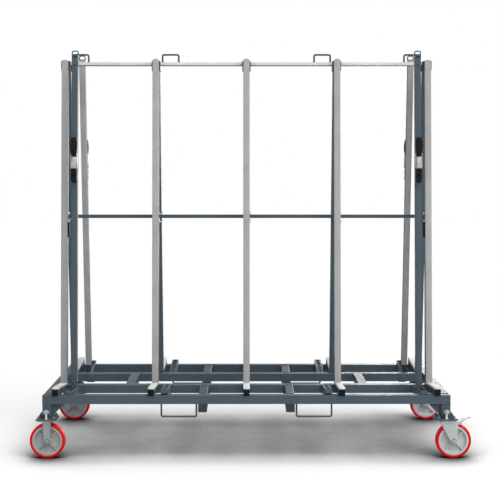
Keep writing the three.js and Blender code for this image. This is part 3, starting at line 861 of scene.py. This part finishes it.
@dataclass
class BaseWelds:
    """Rippled welds of the base, as one piece."""

    frame: CartFrame
    radius: float = 0.0032
    clear: float = 0.006
    pitch: float = 0.004
    least_steps: int = 4
    ripple: Point2 = (1.08, 0.86)
    taper: float = 0.55
    spread: Point2 = (0.93, 1.07)
    fork_rail_x: float = 0.250
    piece: Piece = field(default_factory=lambda: Piece("base_welds", "base", STEEL, crease=80))
    rng: random.Random = field(default_factory=lambda: random.Random(WELD_SEED))

    def build(self) -> None:
        """Lays the welds where beams, posts and fork rails meet."""
        f, half = self.frame, self.frame.beam_size / 2
        along_x, along_y = (1, 0), (0, 1)
        for hand in Hand:
            end = hand.sign * f.end_beam_x + f.shift
            rail = hand.sign * self.fork_rail_x + f.shift
            left, right = end - half, end + half
            for sign in (-1, 1):
                seam, post = sign * (f.outer_beam_y - half), sign * f.outer_beam_y
                self.joint(end, seam, along_x)
                self.joint(end - hand.sign * half, sign * f.inner_beam_y, along_y)
                for y in (seam, sign * (f.inner_beam_y + half)):
                    self.joint(rail, y, along_x)
                near, far = post - half, post + half
                for y in (near, far):
                    for z in (f.flange_top, f.beam_bottom):
                        self.bead((left, y, z), (right, y, z))
                for x in (left, right):
                    self.bead((x, near, f.flange_top), (x, far, f.flange_top))
        self.piece.build()

    def bead(self, start: Point3, end: Point3) -> None:
        """Lays one weld.

        Args:
            start: One end.
            end: The other end.
        """
        first, last = Vector(start), Vector(end)
        count = max(self.least_steps, round((last - first).length / self.pitch))
        path, radii = [], []
        for i in range(count + 1):
            path.append(tuple(first.lerp(last, i / count)))
            taper = self.taper if i in (0, count) else 1.0
            radii.append(self.radius * self.ripple[i % 2] * taper * self.rng.uniform(*self.spread))
        self.piece.sweep(path, radii, Matrix.Identity(4), sides=8)

    def joint(self, x: float, y: float, along: Point2) -> None:
        """Lays the welds of a beam's end: one over its top and one up each side.

        Args:
            x: Middle of the end along the cart.
            y: Middle of the end across the cart.
            along: Direction of the top weld in X and Y.
        """
        f, half, (dx, dy) = self.frame, self.frame.beam_size / 2, along
        reach, low, high = half - self.clear, f.beam_bottom + self.clear, f.beam_top - self.clear
        start = (x - dx * reach, y - dy * reach, f.beam_top)
        self.bead(start, (x + dx * reach, y + dy * reach, f.beam_top))
        for offset in (-half, half):
            foot = (x + dx * offset, y + dy * offset)
            self.bead((*foot, low), (*foot, high))


@dataclass
class WeldedBase:
    """Base of square tube with its welds and its four corners."""

    frame: CartFrame
    tube_edge: float = 0.0045
    post_edge: float = 0.0022
    channel_edge: float = 0.0009

    def build(self, nodes: Nodes) -> None:
        """Dresses the base and makes its fine pieces.

        Args:
            nodes: The CAD nodes by name.
        """
        tubes = SteelDressing(STEEL, self.tube_edge, steps=3)
        tubes.dress(nodes, ["left_end_frame", "right_end_frame"])
        # The fork rails take the darker slate copy: painted shade.
        shaded = replace(tubes, finish=SHADED_STEEL)
        shaded.dress(nodes, ["fork_rail_left", "fork_rail_right"])
        SteelDressing(STEEL, self.post_edge).dress(nodes, ["front_beam", "rear_beam"])
        # Pale edges on the inner beams: painted highlight along their tops.
        wear_and_highlight = SteelDressing(HIGHLIT_STEEL, self.channel_edge)
        wear_and_highlight.dress(nodes, ["front_inner_beam", "rear_inner_beam"])
        for side in Side:
            for hand in Hand:
                BaseCorner(self.frame, side, hand).build()
        BaseWelds(self.frame).build()


@dataclass
class LinedLeg:
    """Soft lining of one leg and its foot, with the foot's black plug."""

    frame: CartFrame
    side: Side
    number: int
    rounding: float = 0.0025
    rise: float = 0.012
    crown: float = 0.012
    end_drop: float = 0.008
    end_crown: float = 0.005
    cap_reach: float = 0.004
    cap_edge: float = 0.0014
    boss_share: float = 0.62
    boss_sink: float = 0.001
    boss_rise: float = 0.0012
    boss_edge: float = 0.001

    def build(self) -> None:
        """Makes the linings and the plug."""
        self.linings()
        self.foot_cap()

    def linings(self) -> None:
        """Makes the lining of the leg and of its foot, whose paler copy of the lining paints the
        light falling on the foot's top.
        """
        f, node = self.frame, f"lining_{self.side.value}_{self.number}"
        place = f.side(self.side, f.frame_x(self.number))
        depth = f.lining - SEAT_GAP
        top, crown = f.leg_length + self.rise, self.crown
        if self.number in (1, f.frames):
            top, crown = top - self.end_drop, self.end_crown
        leg = Piece(f"{node}_strip", "base", LINING, (node,))
        outline = crowned(f.leg_width, SEAT_GAP, top, crown)
        leg.prism(outline, depth, place @ turned("X", 90), self.rounding, steps=3)
        leg.build()
        foot = Piece(f"foot_lining_{self.side.value}_{self.number}", "base", TOP_LIT_LINING)
        outline = crowned(f.leg_width, -depth, f.foot_end, self.crown)
        foot.prism(outline, depth, place @ at(0, 0, -depth), self.rounding, steps=3)
        foot.build()

    def foot_cap(self) -> None:
        """Makes the black plug in the outer end of the foot."""
        f, half, reach = self.frame, self.frame.foot_size / 2, self.cap_reach
        place = f.side(self.side, f.frame_x(self.number), f.foot_end, -f.lining - half)
        boss = half * self.boss_share
        piece = Piece(f"foot_cap_{self.side.value}_{self.number}", "base", GRIP)
        piece.block((-half, SEAT_GAP, -half), (half, reach, half), place, self.cap_edge, steps=3)
        back, front = reach - self.boss_sink, reach + self.boss_rise
        piece.block((-boss, back, -boss), (boss, front, boss), place, self.boss_edge)
        piece.build()


@dataclass
class RailEnd:
    """Half of the top rail with its keepers, and the black pads of an end A-frame."""

    frame: CartFrame
    hand: Hand
    height: float = 0.020
    depth: float = 0.0302
    inset: float = 0.005
    edge: float = 0.0018
    strip: float = 0.0025
    pad_edge: float = 0.0008
    plate_face: float = 0.025
    plate_height: float = 0.058
    keeper: RodLoop = RodLoop(rod=0.011, width=0.108, bend=0.010, sink=0.004,
                              collar=((0.85, 0.0), (0.72, 0.003), (0.5, 0.006)))
    keeper_height: float = 0.050
    pad_plate: float = 0.0025
    pad_gap: float = 0.001
    pad_reach: float = 0.041
    pad_margins: Point2 = (0.003, 0.006)
    buffer_heights: Point2 = (1.240, 1.330)
    buffer_width: float = 0.010
    buffer_depths: Point2 = (0.031, 0.007)
    buffer_edge: float = 0.003

    @property
    def end_x(self) -> float:
        """Distance of the end A-frame from the middle one."""
        return self.frame.frame_x(self.frame.frames)

    def build(self) -> None:
        """Makes the rail and the pads."""
        self.top_rail()
        self.end_pads()
        self.buffers()

    def top_rail(self) -> None:
        """Makes one length of top rail with its two keeper loops."""
        f, half = self.frame, self.depth / 2
        node = f"top_rail_{self.hand.value}"
        place = at(f.shift, 0, 0) @ turned("Z", 180 if self.hand is Hand.LEFT else 0)
        start = self.plate_face + SEAT_GAP
        end, top = self.end_x - start, f.leg_top - self.inset
        low = top - self.height
        bar = Piece(f"{node}_bar", "base", RAIL, (node,))
        bar.block((start, -half, low), (end, half, top), place, self.edge, steps=3)
        bar.build()
        # A black strip under the bar stands for the rail's shaded underside: painted shade.
        strip = Piece(f"{node}_strip", "base", GRIP)
        under = low - SEAT_GAP
        strip.block((start, -half, low - self.strip), (end, half, under), place, self.pad_edge)
        strip.build()
        keepers = Piece(f"keepers_{self.hand.value}", "base", STEEL)
        for x in f.keeper_stations:
            self.keeper.add(keepers, place @ at(x, 0, 0), top, top + self.keeper_height)
        keepers.build()

    def end_pads(self) -> None:
        """Makes the black pads on the inner top plate of an end A-frame, beside the rail."""
        f, sign = self.frame, self.hand.sign
        piece = Piece(f"end_pads_{self.hand.value}", "base", GRIP)
        face = sign * (self.end_x - self.plate_face)
        below, above = self.pad_margins
        low, high = f.leg_top - self.plate_height + below, f.leg_top - above
        x = sorted((face - sign * SEAT_GAP, face - sign * self.pad_plate))
        for way in (-1, 1):
            y = sorted((way * (self.depth / 2 + self.pad_gap), way * self.pad_reach))
            piece.block((x[0], y[0], low), (x[1], y[1], high), at(f.shift, 0, 0), self.pad_edge)
        piece.build()

    def buffers(self) -> None:
        """Makes the black buffers on the inner faces of the end legs, below the mid rail."""
        f = self.frame
        piece = Piece(f"leg_buffers_{self.hand.value}", "base", GRIP)
        low, high = (f.up_leg(z) for z in self.buffer_heights)
        near, far = (-f.lining - y for y in self.buffer_depths)
        face = self.end_x - f.leg_width / 2 - SEAT_GAP
        faces = (face, face - self.buffer_width)
        for side in Side:
            x = sorted(side.sign * self.hand.sign * reach for reach in faces)
            piece.block((x[0], near, low), (x[1], far, high), f.side(side), self.buffer_edge,
                        steps=3)
        piece.build()


@dataclass
class LeaningFrames:
    """Five A-frames with their linings, foot caps and rails."""

    frame: CartFrame
    leg_edge: float = 0.0022
    mid_rail_edge: float = 0.002
    mid_rail_middle: float = 1.3565
    bolt_size: Point2 = (0.013, 0.006)
    bolt_rise: float = 0.024
    bolt_depth: float = 0.019

    def build(self, nodes: Nodes) -> None:
        """Dresses the A-frames and makes what is fixed to them.

        Args:
            nodes: The CAD nodes by name.
        """
        legs = [f"a_frame_{n}" for n in self.frame.numbers]
        SteelDressing(STEEL, self.leg_edge).dress(nodes, legs)
        SteelDressing(STEEL, self.mid_rail_edge).dress(nodes, ["mid_rail"])
        for side in Side:
            for number in self.frame.numbers:
                LinedLeg(self.frame, side, number).build()
        for hand in Hand:
            RailEnd(self.frame, hand).build()
        self.rail_bolts()

    def rail_bolts(self) -> None:
        """Makes the bolts that hold the mid rail to the legs."""
        f = self.frame
        piece = Piece("mid_rail_bolts", "base", BRIGHT)
        along = f.up_leg(self.mid_rail_middle)
        for side in Side:
            for number in f.numbers:
                inward = -1 if number == f.frames else 1
                x = f.frame_x(number) + inward * f.leg_width / 2
                for rise in (-self.bolt_rise, self.bolt_rise):
                    place = f.side(side, x, -f.lining - self.bolt_depth, along + rise)
                    piece.bolt(place @ turned("Y", 90 * inward * side.sign), *self.bolt_size)
        piece.build()


@dataclass
class ClampPole(Corner):
    """A clamp pole with its lining, pull ring and ratchet tensioner."""

    size: float = 0.035
    offset: float = 0.0895
    low: float = -0.0592
    lining_low: float = 0.009
    top: float = 1.936
    lining_end: float = 0.004
    tube_edge: float = 0.0022
    ring: RodLoop = RodLoop(rod=0.007, width=0.041, bend=0.008, sink=0.006, sides=14)
    ring_height: float = 0.024
    slot_width: float = 0.027
    slot_height: float = 0.014
    slot_drop: float = 0.008
    slot_depths: Point2 = (0.003, 0.0006)
    slot_edge: float = 0.0005
    plug_drop: float = 0.066
    plug: Profile = ((0.0062, -0.003), (0.0062, 0.0008), (0.0052, 0.0014), (0.004, 0.0006))
    ratchet_height: float = 1.275
    ratchet_width: float = 0.028
    plate: float = 0.003
    teeth: int = 12
    toothed_width: float = 0.003
    tooth_tip: float = 0.015
    tooth_root: float = 0.0115
    tooth_rake: float = 0.8
    tooth_edge: float = 0.0003
    tooth_sink: float = 0.0005
    running_gap: float = 0.0004
    spindle_reach: float = 0.0185
    spindle_radius: float = 0.005
    spindle_chamfer: float = 0.001
    spool_radius: float = 0.0125
    spool_flange: float = 0.003
    waist: float = 0.8
    cheek_radius: float = 0.017
    cheek_top: float = 0.054
    cheek_reach: float = 0.027
    guard_drop: float = 0.014
    guard_lip: float = 0.0003
    pad_width: float = 0.0345
    pad_length: float = 0.080
    pad_thickness: float = 0.026
    pad_groove: float = 0.005
    pad_edge: float = 0.0035
    pad_gap: float = 0.0004
    web_reach: float = 0.01
    web_inset: float = 0.001
    arm_radius: float = 0.010
    arm_sink: float = 0.004
    bar_heights: Point2 = (0.059, 0.066)
    bar_half: float = 0.003
    bar_sink: float = 0.0015
    bar_edge: float = 0.0008
    grip_rise: float = 0.071
    grip_length: float = 0.097
    grip_width: float = 0.045
    grip_waist: float = 0.013
    grip_thickness: float = 0.037
    grip_lift: float = 0.0075
    grip_edge: float = 0.009
    grip_steps: int = 10
    neck_rise: float = 0.0575
    neck_width: float = 0.029
    neck_sink: float = 0.006
    neck_edge: float = 0.002
    ridges: int = 5
    ridge_start: float = 0.022
    ridge_pitch: float = 0.0135
    ridge_length: float = 0.006
    ridge_depths: Point2 = (0.0008, 0.0012)
    ridge_edge: float = 0.001

    @property
    def place(self) -> Matrix:
        """Frame of the pole: Y outwards and Z up along it."""
        return self.frame.side(self.side, self.hand.sign * self.frame.station, self.offset)

    @property
    def face(self) -> float:
        """Place of what stands on the pole's front, from the middle of the pole."""
        return self.size / 2 + SEAT_GAP

    @property
    def spindle_y(self) -> float:
        """Place of the ratchet's spindle in front of the middle of the pole."""
        return self.size / 2 + self.spindle_reach

    @property
    def lever(self) -> Matrix:
        """Frame of the handle, at its spindle."""
        return self.place @ at(0, self.spindle_y, self.ratchet_height)

    def build(self) -> None:
        """Makes the pole and everything on it."""
        self.shaft()
        self.lining()
        self.ratchet_frame()
        self.ratchet_pad()
        self.arms()
        self.grip()

    def shaft(self) -> None:
        """Makes the square tube with its pull ring, a dark block as painted shade of the strap
        slot, and a hole plug in the same dark coat.
        """
        half, body = self.size / 2, f"pole_{self.tag}"
        piece = Piece(f"{body}_tube", body, STEEL, (body,))
        foot, head = (-half, -half, self.low), (half, half, self.top)
        piece.block(foot, head, self.place, self.tube_edge, steps=3)
        self.ring.add(piece, self.place, self.top, self.top + self.ring_height)
        piece.build()
        # The strap slot is a dark block in the shaded slate coat, standing for the shade in its
        # recess: painted shade. The hole plug takes the same coat.
        slot_shade = Piece(f"pole_slot_{self.tag}", body, SHADED_STEEL)
        high, across = self.top - self.slot_drop, self.slot_width / 2
        back, front = half - self.slot_depths[0], half + self.slot_depths[1]
        low = high - self.slot_height
        slot_shade.block((-across, back, low), (across, front, high), self.place, self.slot_edge)
        hole = self.place @ at(0, half, self.top - self.plug_drop)
        slot_shade.lathe(self.plug, hole @ turned("X", -90), facets=24)
        slot_shade.build()

    def lining(self) -> None:
        """Makes the soft strip that meets the sheet."""
        node, half = f"pole_lining_{self.tag}", self.size / 2
        piece = Piece(f"{node}_strip", f"pole_{self.tag}", LINING, (node,))
        face, back, end = -half - self.frame.lining, -half - SEAT_GAP, self.top - self.lining_end
        low, high = (-half, face, self.lining_low), (half, back, end)
        piece.block(low, high, self.place, self.tube_edge, steps=3)
        piece.build()

    def toothed_outline(self) -> list[Point2]:
        """Draws a ratchet wheel with raked teeth.

        Returns:
            The outline.
        """
        points: list[Point2] = []
        for k in range(self.teeth):
            for radius, share in ((self.tooth_tip, k), (self.tooth_root, k + self.tooth_rake)):
                points.append(polar(radius, 2 * math.pi * share / self.teeth))
        return points

    def cheek_outline(self) -> list[Point2]:
        """Draws a cheek of the ratchet frame, rounded below the spindle.

        Returns:
            The outline, outwards and upwards.
        """
        face, top = self.face, self.cheek_top
        arc = [polar(self.cheek_radius, math.radians(a)) for a in range(-90, 1, 10)]
        rounded = [(self.spindle_y + y, z) for y, z in arc]
        return [(face, -self.cheek_radius), *rounded, (face + self.cheek_reach, top), (face, top)]

    def ratchet_frame(self) -> None:
        """Makes the plated frame with its front guard, toothed wheels, spindle and spool."""
        half, plate, top, face = self.ratchet_width / 2, self.plate, self.cheek_top, self.face
        front, edge = face + self.cheek_reach, self.spindle_y + self.cheek_radius
        place = self.place @ at(0, 0, self.ratchet_height)
        node = f"ratchet_body_{self.tag}"
        piece = Piece(f"ratchet_frame_{self.tag}", f"pole_{self.tag}", ZINC, (node,))
        piece.block((-half, face, -self.cheek_radius), (half, face + plate, top), place, SHEET_EDGE)
        for x in (half - plate, -half):
            piece.prism(self.cheek_outline(), plate, place @ at(x, 0, 0) @ SIDEWAYS, SHEET_EDGE)
        lip, low = self.guard_lip, -self.guard_drop
        guard = [(edge - plate, low), (edge + lip, low), (edge + lip, 0), (front + lip, top),
                 (front - plate, top), (edge - plate, 0)]
        piece.prism(guard, 2 * half, place @ at(-half, 0, 0) @ SIDEWAYS, SHEET_EDGE)
        spindle = self.lever @ SIDEWAYS
        outer, sink = half + self.toothed_width, self.tooth_sink
        for x in (half - sink, -outer):
            depth = self.toothed_width + sink
            piece.prism(self.toothed_outline(), depth, spindle @ at(0, 0, x), self.tooth_edge)
        reach, pin = outer + self.running_gap + plate, self.spindle_radius
        tip, thin = reach + self.spindle_chamfer, pin * self.waist
        piece.lathe([(thin, -tip), (pin, -reach), (pin, reach), (thin, tip)], spindle, facets=20)
        inner, drum = half - plate, self.spool_radius
        core, wound = drum * self.waist, inner - self.spool_flange
        spool = [(drum, -inner), (core, -wound), (core, wound), (drum, inner)]
        piece.lathe(spool, spindle, facets=28)
        piece.build()

    def ratchet_pad(self) -> None:
        """Makes the black pad below the ratchet, in two lobes."""
        place = self.place @ at(0, self.face, self.ratchet_height - self.cheek_radius)
        upright = place @ turned("Y", 180) @ turned("X", 90)
        piece = Piece(f"ratchet_pad_{self.tag}", f"pole_{self.tag}", GRIP)
        middle, groove, thick = self.pad_length / 2, self.pad_groove / 2, self.pad_thickness
        half, reach, inset = self.pad_width / 2, self.web_reach, self.web_inset
        thin, top, web = half - inset, self.pad_gap, thick - self.pad_groove
        upper = rectangle((-half, top), (half, middle - groove))
        lower = crowned(self.pad_width, middle + groove, self.pad_length, half)
        joint = rectangle((-thin, middle - reach), (thin, middle + reach))
        forms = ((upper, thick, self.pad_edge), (lower, thick, self.pad_edge), (joint, web, inset))
        for outline, depth, rounding in forms:
            piece.prism(outline, depth, upright @ at(0, 0, -depth), rounding, steps=3)
        piece.build()

    def arms(self) -> None:
        """Makes the two plated arms of the handle with their release bar."""
        place, inner = self.lever, self.ratchet_width / 2 + self.toothed_width + self.running_gap
        arms = Piece(f"ratchet_arms_{self.tag}", f"handle_{self.tag}", ZINC)
        arc = [polar(self.arm_radius, math.radians(a)) for a in range(180, 361, 12)]
        top = self.grip_rise + self.arm_sink
        outline = [*arc, (self.arm_radius, top), (-self.arm_radius, top)]
        for x in (inner, -inner - self.plate):
            arms.prism(outline, self.plate, place @ at(x, 0, 0) @ SIDEWAYS, SHEET_EDGE)
        across, half, (low, high) = inner + self.bar_sink, self.bar_half, self.bar_heights
        arms.block((-across, -half, low), (across, half, high), place, self.bar_edge)
        arms.build()

    def grip(self) -> None:
        """Makes the moulded grip of the handle with its neck and ridges."""
        place, body, node = self.lever, f"handle_{self.tag}", f"ratchet_handle_{self.tag}"
        piece = Piece(f"ratchet_grip_{self.tag}", body, HANDLE, (node,))
        half, steps, depth = self.grip_width / 2, self.grip_steps, self.grip_thickness
        right = []
        for k in range(steps + 1):
            waist = self.grip_waist / 2 * (2 * k / steps - 1) ** 2
            right.append((half - waist, self.grip_rise + self.grip_length * k / steps))
        left = [(-x, z) for x, z in reversed(right)]
        face = depth / 2 + self.grip_lift
        upright = place @ at(0, face, 0) @ turned("X", 90)
        piece.prism(right + left, depth, upright, self.grip_edge, steps=5)
        neck, reach = self.neck_width / 2, self.arm_radius
        piece.block((-neck, -reach, self.neck_rise), (neck, reach, self.grip_rise + self.neck_sink),
                    place, self.neck_edge, steps=3)
        back, front = face - self.ridge_depths[0], face + self.ridge_depths[1]
        for k in range(self.ridges):
            z = self.grip_rise + self.ridge_start + k * self.ridge_pitch
            high = z + self.ridge_length
            piece.block((-half / 2, back, z), (half / 2, front, high), place, self.ridge_edge)
        piece.build()


@dataclass
class Caster(Corner):
    """A caster: fork, ribbed wheel, tyre and, on the swivel end, a brake pedal."""

    radius: float = 0.100
    width: float = 0.050
    fork_edge: float = 0.001
    fork_outer: float = 0.034
    trail: float = 0.046
    facets: int = 72
    tyre: float = 0.014
    tyre_facets: int = 96
    shoulder: float = 0.007
    shoulder_steps: int = 6
    bond: Point2 = (0.004, 0.0008)
    parting: Point2 = (0.0012, 0.0004)
    rim: float = 0.013
    rim_inset: float = 0.003
    lip: float = 0.0015
    hub: float = 0.022
    boss: float = 0.0286
    bore: float = 0.0064
    draft: float = 0.002
    fillet: float = 0.004
    rim_fillet: Point2 = (0.006, 0.005)
    web: float = 0.010
    ribs: int = 4
    rib_half: float = 0.003
    rib_edge: float = 0.001
    rib_drop: float = 0.004
    rib_sink: float = 0.6
    washer: Profile = ((0.0135, -0.001), (0.014, -0.0004), (0.014, 0.0004), (0.0135, 0.001))
    washer_lift: float = 0.0012

    @property
    def swivels(self) -> bool:
        """True on the end with swivel casters."""
        return self.hand is Hand.RIGHT

    @property
    def axle(self) -> Matrix:
        """Frame of the axle, with Z along it."""
        x, y = self.post
        return at(x + self.trail if self.swivels else x, y, self.radius) @ turned("X", 90)

    def build(self, nodes: Nodes) -> None:
        """Dresses the fork and makes the wheel.

        Args:
            nodes: The CAD nodes by name.
        """
        # Right-hand forks take the paler zinc copy and left-hand ones the darker copy: painted
        # light and shade.
        plating = SteelDressing(LIT_ZINC if self.swivels else DULL_ZINC, self.fork_edge)
        plating.dress(nodes, [f"caster_fork_{self.tag}"])
        self.wheel_hub()
        self.wheel_tyre()
        self.axle_ends()
        if self.swivels:
            plating.dress(nodes, [f"brake_pedal_{self.tag}"])

    def wheel_hub(self) -> None:
        """Makes the cast wheel with its rim, web, ribs and boss."""
        node, hub, boss, lip = f"wheel_hub_{self.tag}", self.hub, self.boss, self.lip
        outer, inner = self.radius - self.tyre - SEAT_GAP, self.radius - self.tyre - self.rim
        edge, web = self.width / 2 - self.rim_inset, self.web / 2
        foot, rise = self.rim_fillet
        flare = hub + self.draft
        profile = [(self.bore, boss), (hub - lip, boss), (hub, boss - lip),
                   (flare, web + self.fillet), (flare + self.fillet, web), (inner - foot, web),
                   (inner - (foot - rise), web + rise), (inner, edge - lip), (inner + lip, edge),
                   (outer - lip, edge), (outer, edge - lip)]
        mirrored = [(r, -z) for r, z in reversed(profile)]
        # Right-hand hubs take the paler copy and left-hand ones the darker copy: painted light and
        # shade.
        finish = LIT_HUB if self.swivels else HUB
        piece = Piece(f"{node}_casting", f"wheel_{self.tag}", finish, (node,))
        piece.lathe(profile + mirrored, self.axle, self.facets, ring=True)
        start, end, half = hub - self.draft, inner + self.rib_edge, self.rib_half
        for k in range(self.ribs):
            spoke = self.axle @ turned("Z", 360 / self.ribs * (k + 0.5))
            for sign in (-1, 1):
                low, high = sorted((sign * web * self.rib_sink, sign * (edge - self.rib_drop)))
                piece.block((start, -half, low), (end, half, high), spoke, self.rib_edge)
        piece.build()

    def wheel_tyre(self) -> None:
        """Makes the bonded tyre with rounded shoulders and a parting line."""
        node, inner = f"wheel_tyre_{self.tag}", self.radius - self.tyre
        half, shoulder = self.width / 2, self.shoulder
        profile = [(inner, half - self.rim_inset), (inner + self.bond[0], half - self.bond[1]),
                   (inner + shoulder, half)]
        for k in range(1, self.shoulder_steps + 1):
            out, up = polar(shoulder, k / self.shoulder_steps * math.pi / 2)
            profile.append((self.radius - shoulder + up, half - shoulder + out))
        profile += [(self.radius, self.parting[0]), (self.radius - self.parting[1], 0.0)]
        mirrored = [(r, -z) for r, z in reversed(profile[:-1])]
        piece = Piece(f"{node}_band", f"wheel_{self.tag}", TYRE, (node,))
        piece.lathe(profile + mirrored, self.axle, self.tyre_facets, ring=True)
        piece.build()

    def axle_ends(self) -> None:
        """Makes the washers at both ends of the axle."""
        body = f"swivel_{self.tag}" if self.swivels else "base"
        piece = Piece(f"axle_washers_{self.tag}", body, BOLT)
        for sign in (-1, 1):
            z = sign * (self.fork_outer + self.washer_lift)
            piece.lathe(self.washer, self.axle @ at(0, 0, z), facets=32)
        piece.build()


@dataclass(frozen=True)
class Lamp:
    """A square soft panel that faces a point."""

    name: str
    power: float
    size: float
    place: Point3
    aim: Point3

    def build(self) -> bpy.types.Object:
        """Adds the lamp, which the camera doesn't see.

        Returns:
            The lamp.
        """
        data = bpy.data.lights.new(self.name, "AREA")
        data.energy = self.power
        data.size = self.size
        lamp = bpy.data.objects.new(self.name, data)
        lamp.visible_camera = False
        lamp.location = self.place
        facing = Vector(self.aim) - Vector(self.place)
        lamp.rotation_euler = facing.to_track_quat("-Z", "Y").to_euler()
        bpy.context.scene.collection.objects.link(lamp)
        return lamp


@dataclass
class Studio:
    """Pale floor, plain soft light and the camera of the photograph."""

    lens: float = 84.96
    sensor: float = 36.0
    place: Point3 = (-0.02276, -7.16945, 1.63594)
    pitch: float = 3.87
    yaw: float = 0.17
    reach: float = 200.0
    ambient: float = 0.43
    key: float = 1.71
    key_tilt: Point3 = (34, 0, 32)
    key_width: float = 40.0
    fill: float = 0.33
    fill_tilt: Point3 = (62, 0, 4)
    fill_width: float = 60.0
    side_panel: Lamp = Lamp("side_panel", power=11.0, size=1.2, place=(2.6, -2.3, 1.3),
                            aim=(1.0, -0.4, 1.0))
    far_panel: Lamp = Lamp("far_panel", power=440.0, size=3.4, place=(2.9, 8.0, 1.9),
                           aim=(0.9, 0.0, 0.5))
    floor_size: float = 60.0
    floor_drop: float = 0.0004
    floor_tone: float = 0.80
    floor_glow: float = 0.27
    shade_samples: int = 24
    shade_reach: float = 0.58
    shade_gain: float = 1.10
    shade_depth: float = 4.6

    def build(self) -> None:
        """Makes the whole studio."""
        bpy.context.scene.view_settings.view_transform = "Standard"
        floor = self.floor()
        self.world()
        self.sun("key_light", self.key, self.key_tilt, self.key_width)
        self.sun("fill_light", self.fill, self.fill_tilt, self.fill_width)
        self.side_panel.build()
        self.spare(self.far_panel.build(), floor)
        self.camera()

    def floor(self) -> bpy.types.Object:
        """Makes the floor, which keeps the cart's shadow and is further darkened near the cart by
        ambient occlusion: painted shadow.

        Returns:
            The floor.
        """
        data = bpy.data.meshes.new("floor")
        half = self.floor_size / 2
        corners = rectangle((-half, -half), (half, half))
        data.from_pydata([(x, y, -self.floor_drop) for x, y in corners], [], [(0, 1, 2, 3)])
        floor = bpy.data.objects.new("floor", data)
        bpy.context.scene.collection.objects.link(floor)
        material = bpy.data.materials.new("pale_floor")
        material.use_nodes = True
        material.node_tree.nodes.clear()
        sheet = NodeSheet(material.node_tree)
        # Ambient occlusion darkens the floor's colour and glow near the cart: painted shadow.
        reach = {"Distance": self.shade_reach}
        near = sheet.add("AmbientOcclusion", reach, samples=self.shade_samples)
        lift = sheet.math("MULTIPLY", near.outputs["AO"], self.shade_gain, clamp=True)
        shade = sheet.math("POWER", lift, self.shade_depth)
        tone = sheet.mix(shade, BLACK, (self.floor_tone, self.floor_tone, self.floor_tone, 1.0))
        glow = sheet.math("MULTIPLY", sheet.math("MULTIPLY", sheet.seen(), shade), self.floor_glow)
        matt = sheet.add("BsdfDiffuse", {"Color": tone}).outputs["BSDF"]
        light = sheet.add("Emission", {"Strength": glow}).outputs["Emission"]
        both = sheet.add("AddShader", {0: matt, 1: light}).outputs["Shader"]
        sheet.add("OutputMaterial", {"Surface": both})
        data.materials.append(material)
        return floor

    def world(self) -> None:
        """Makes a white backdrop that lights the cart at a plain level."""
        world = bpy.data.worlds.new("white_room")
        bpy.context.scene.world = world
        world.use_nodes = True
        sheet = NodeSheet(world.node_tree)
        level = sheet.spread(sheet.seen(), low=self.ambient, high=1.0, start=0.0, end=1.0)
        sheet.feed(world.node_tree.nodes["Background"], {"Color": WHITE, "Strength": level})

    def sun(self, name: str, strength: float, tilt: Point3, width: float) -> None:
        """Adds one wide lamp.

        Args:
            name: Its name.
            strength: Its strength.
            tilt: Its turns about X, Y and Z, in degrees.
            width: Its apparent width, in degrees.
        """
        data = bpy.data.lights.new(name, "SUN")
        data.energy = strength
        data.angle = math.radians(width)
        lamp = bpy.data.objects.new(name, data)
        lamp.rotation_euler = [math.radians(a) for a in tilt]
        bpy.context.scene.collection.objects.link(lamp)

    @staticmethod
    def spare(lamp: bpy.types.Object, stage: bpy.types.Object) -> None:
        """Keeps a lamp's light off a piece of the stage.

        Args:
            lamp: The lamp.
            stage: The piece that it doesn't light.
        """
        spared = bpy.data.collections.new("unlit_stage")
        spared.objects.link(stage)
        spared.collection_objects[0].light_linking.link_state = "EXCLUDE"
        lamp.light_linking.receiver_collection = spared

    def camera(self) -> None:
        """Places the camera at the photograph's viewing angle."""
        data = bpy.data.cameras.new("camera")
        data.lens = self.lens
        data.sensor_width = self.sensor
        data.clip_end = self.reach
        camera = bpy.data.objects.new("camera", data)
        camera.location = self.place
        camera.rotation_euler = (math.radians(90 - self.pitch), 0, math.radians(-self.yaw))
        bpy.context.scene.collection.objects.link(camera)
        bpy.context.scene.camera = camera


def main() -> None:
    logging.basicConfig(level=logging.INFO, format="%(message)s")
    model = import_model()
    nodes = model["nodes"]
    frame = CartFrame()
    WeldedBase(frame).build(nodes)
    LeaningFrames(frame).build(nodes)
    for side in Side:
        for hand in Hand:
            ClampPole(frame, side, hand).build()
            Caster(frame, side, hand).build(nodes)
    Studio().build()


if __name__ == "__main__":
    main()
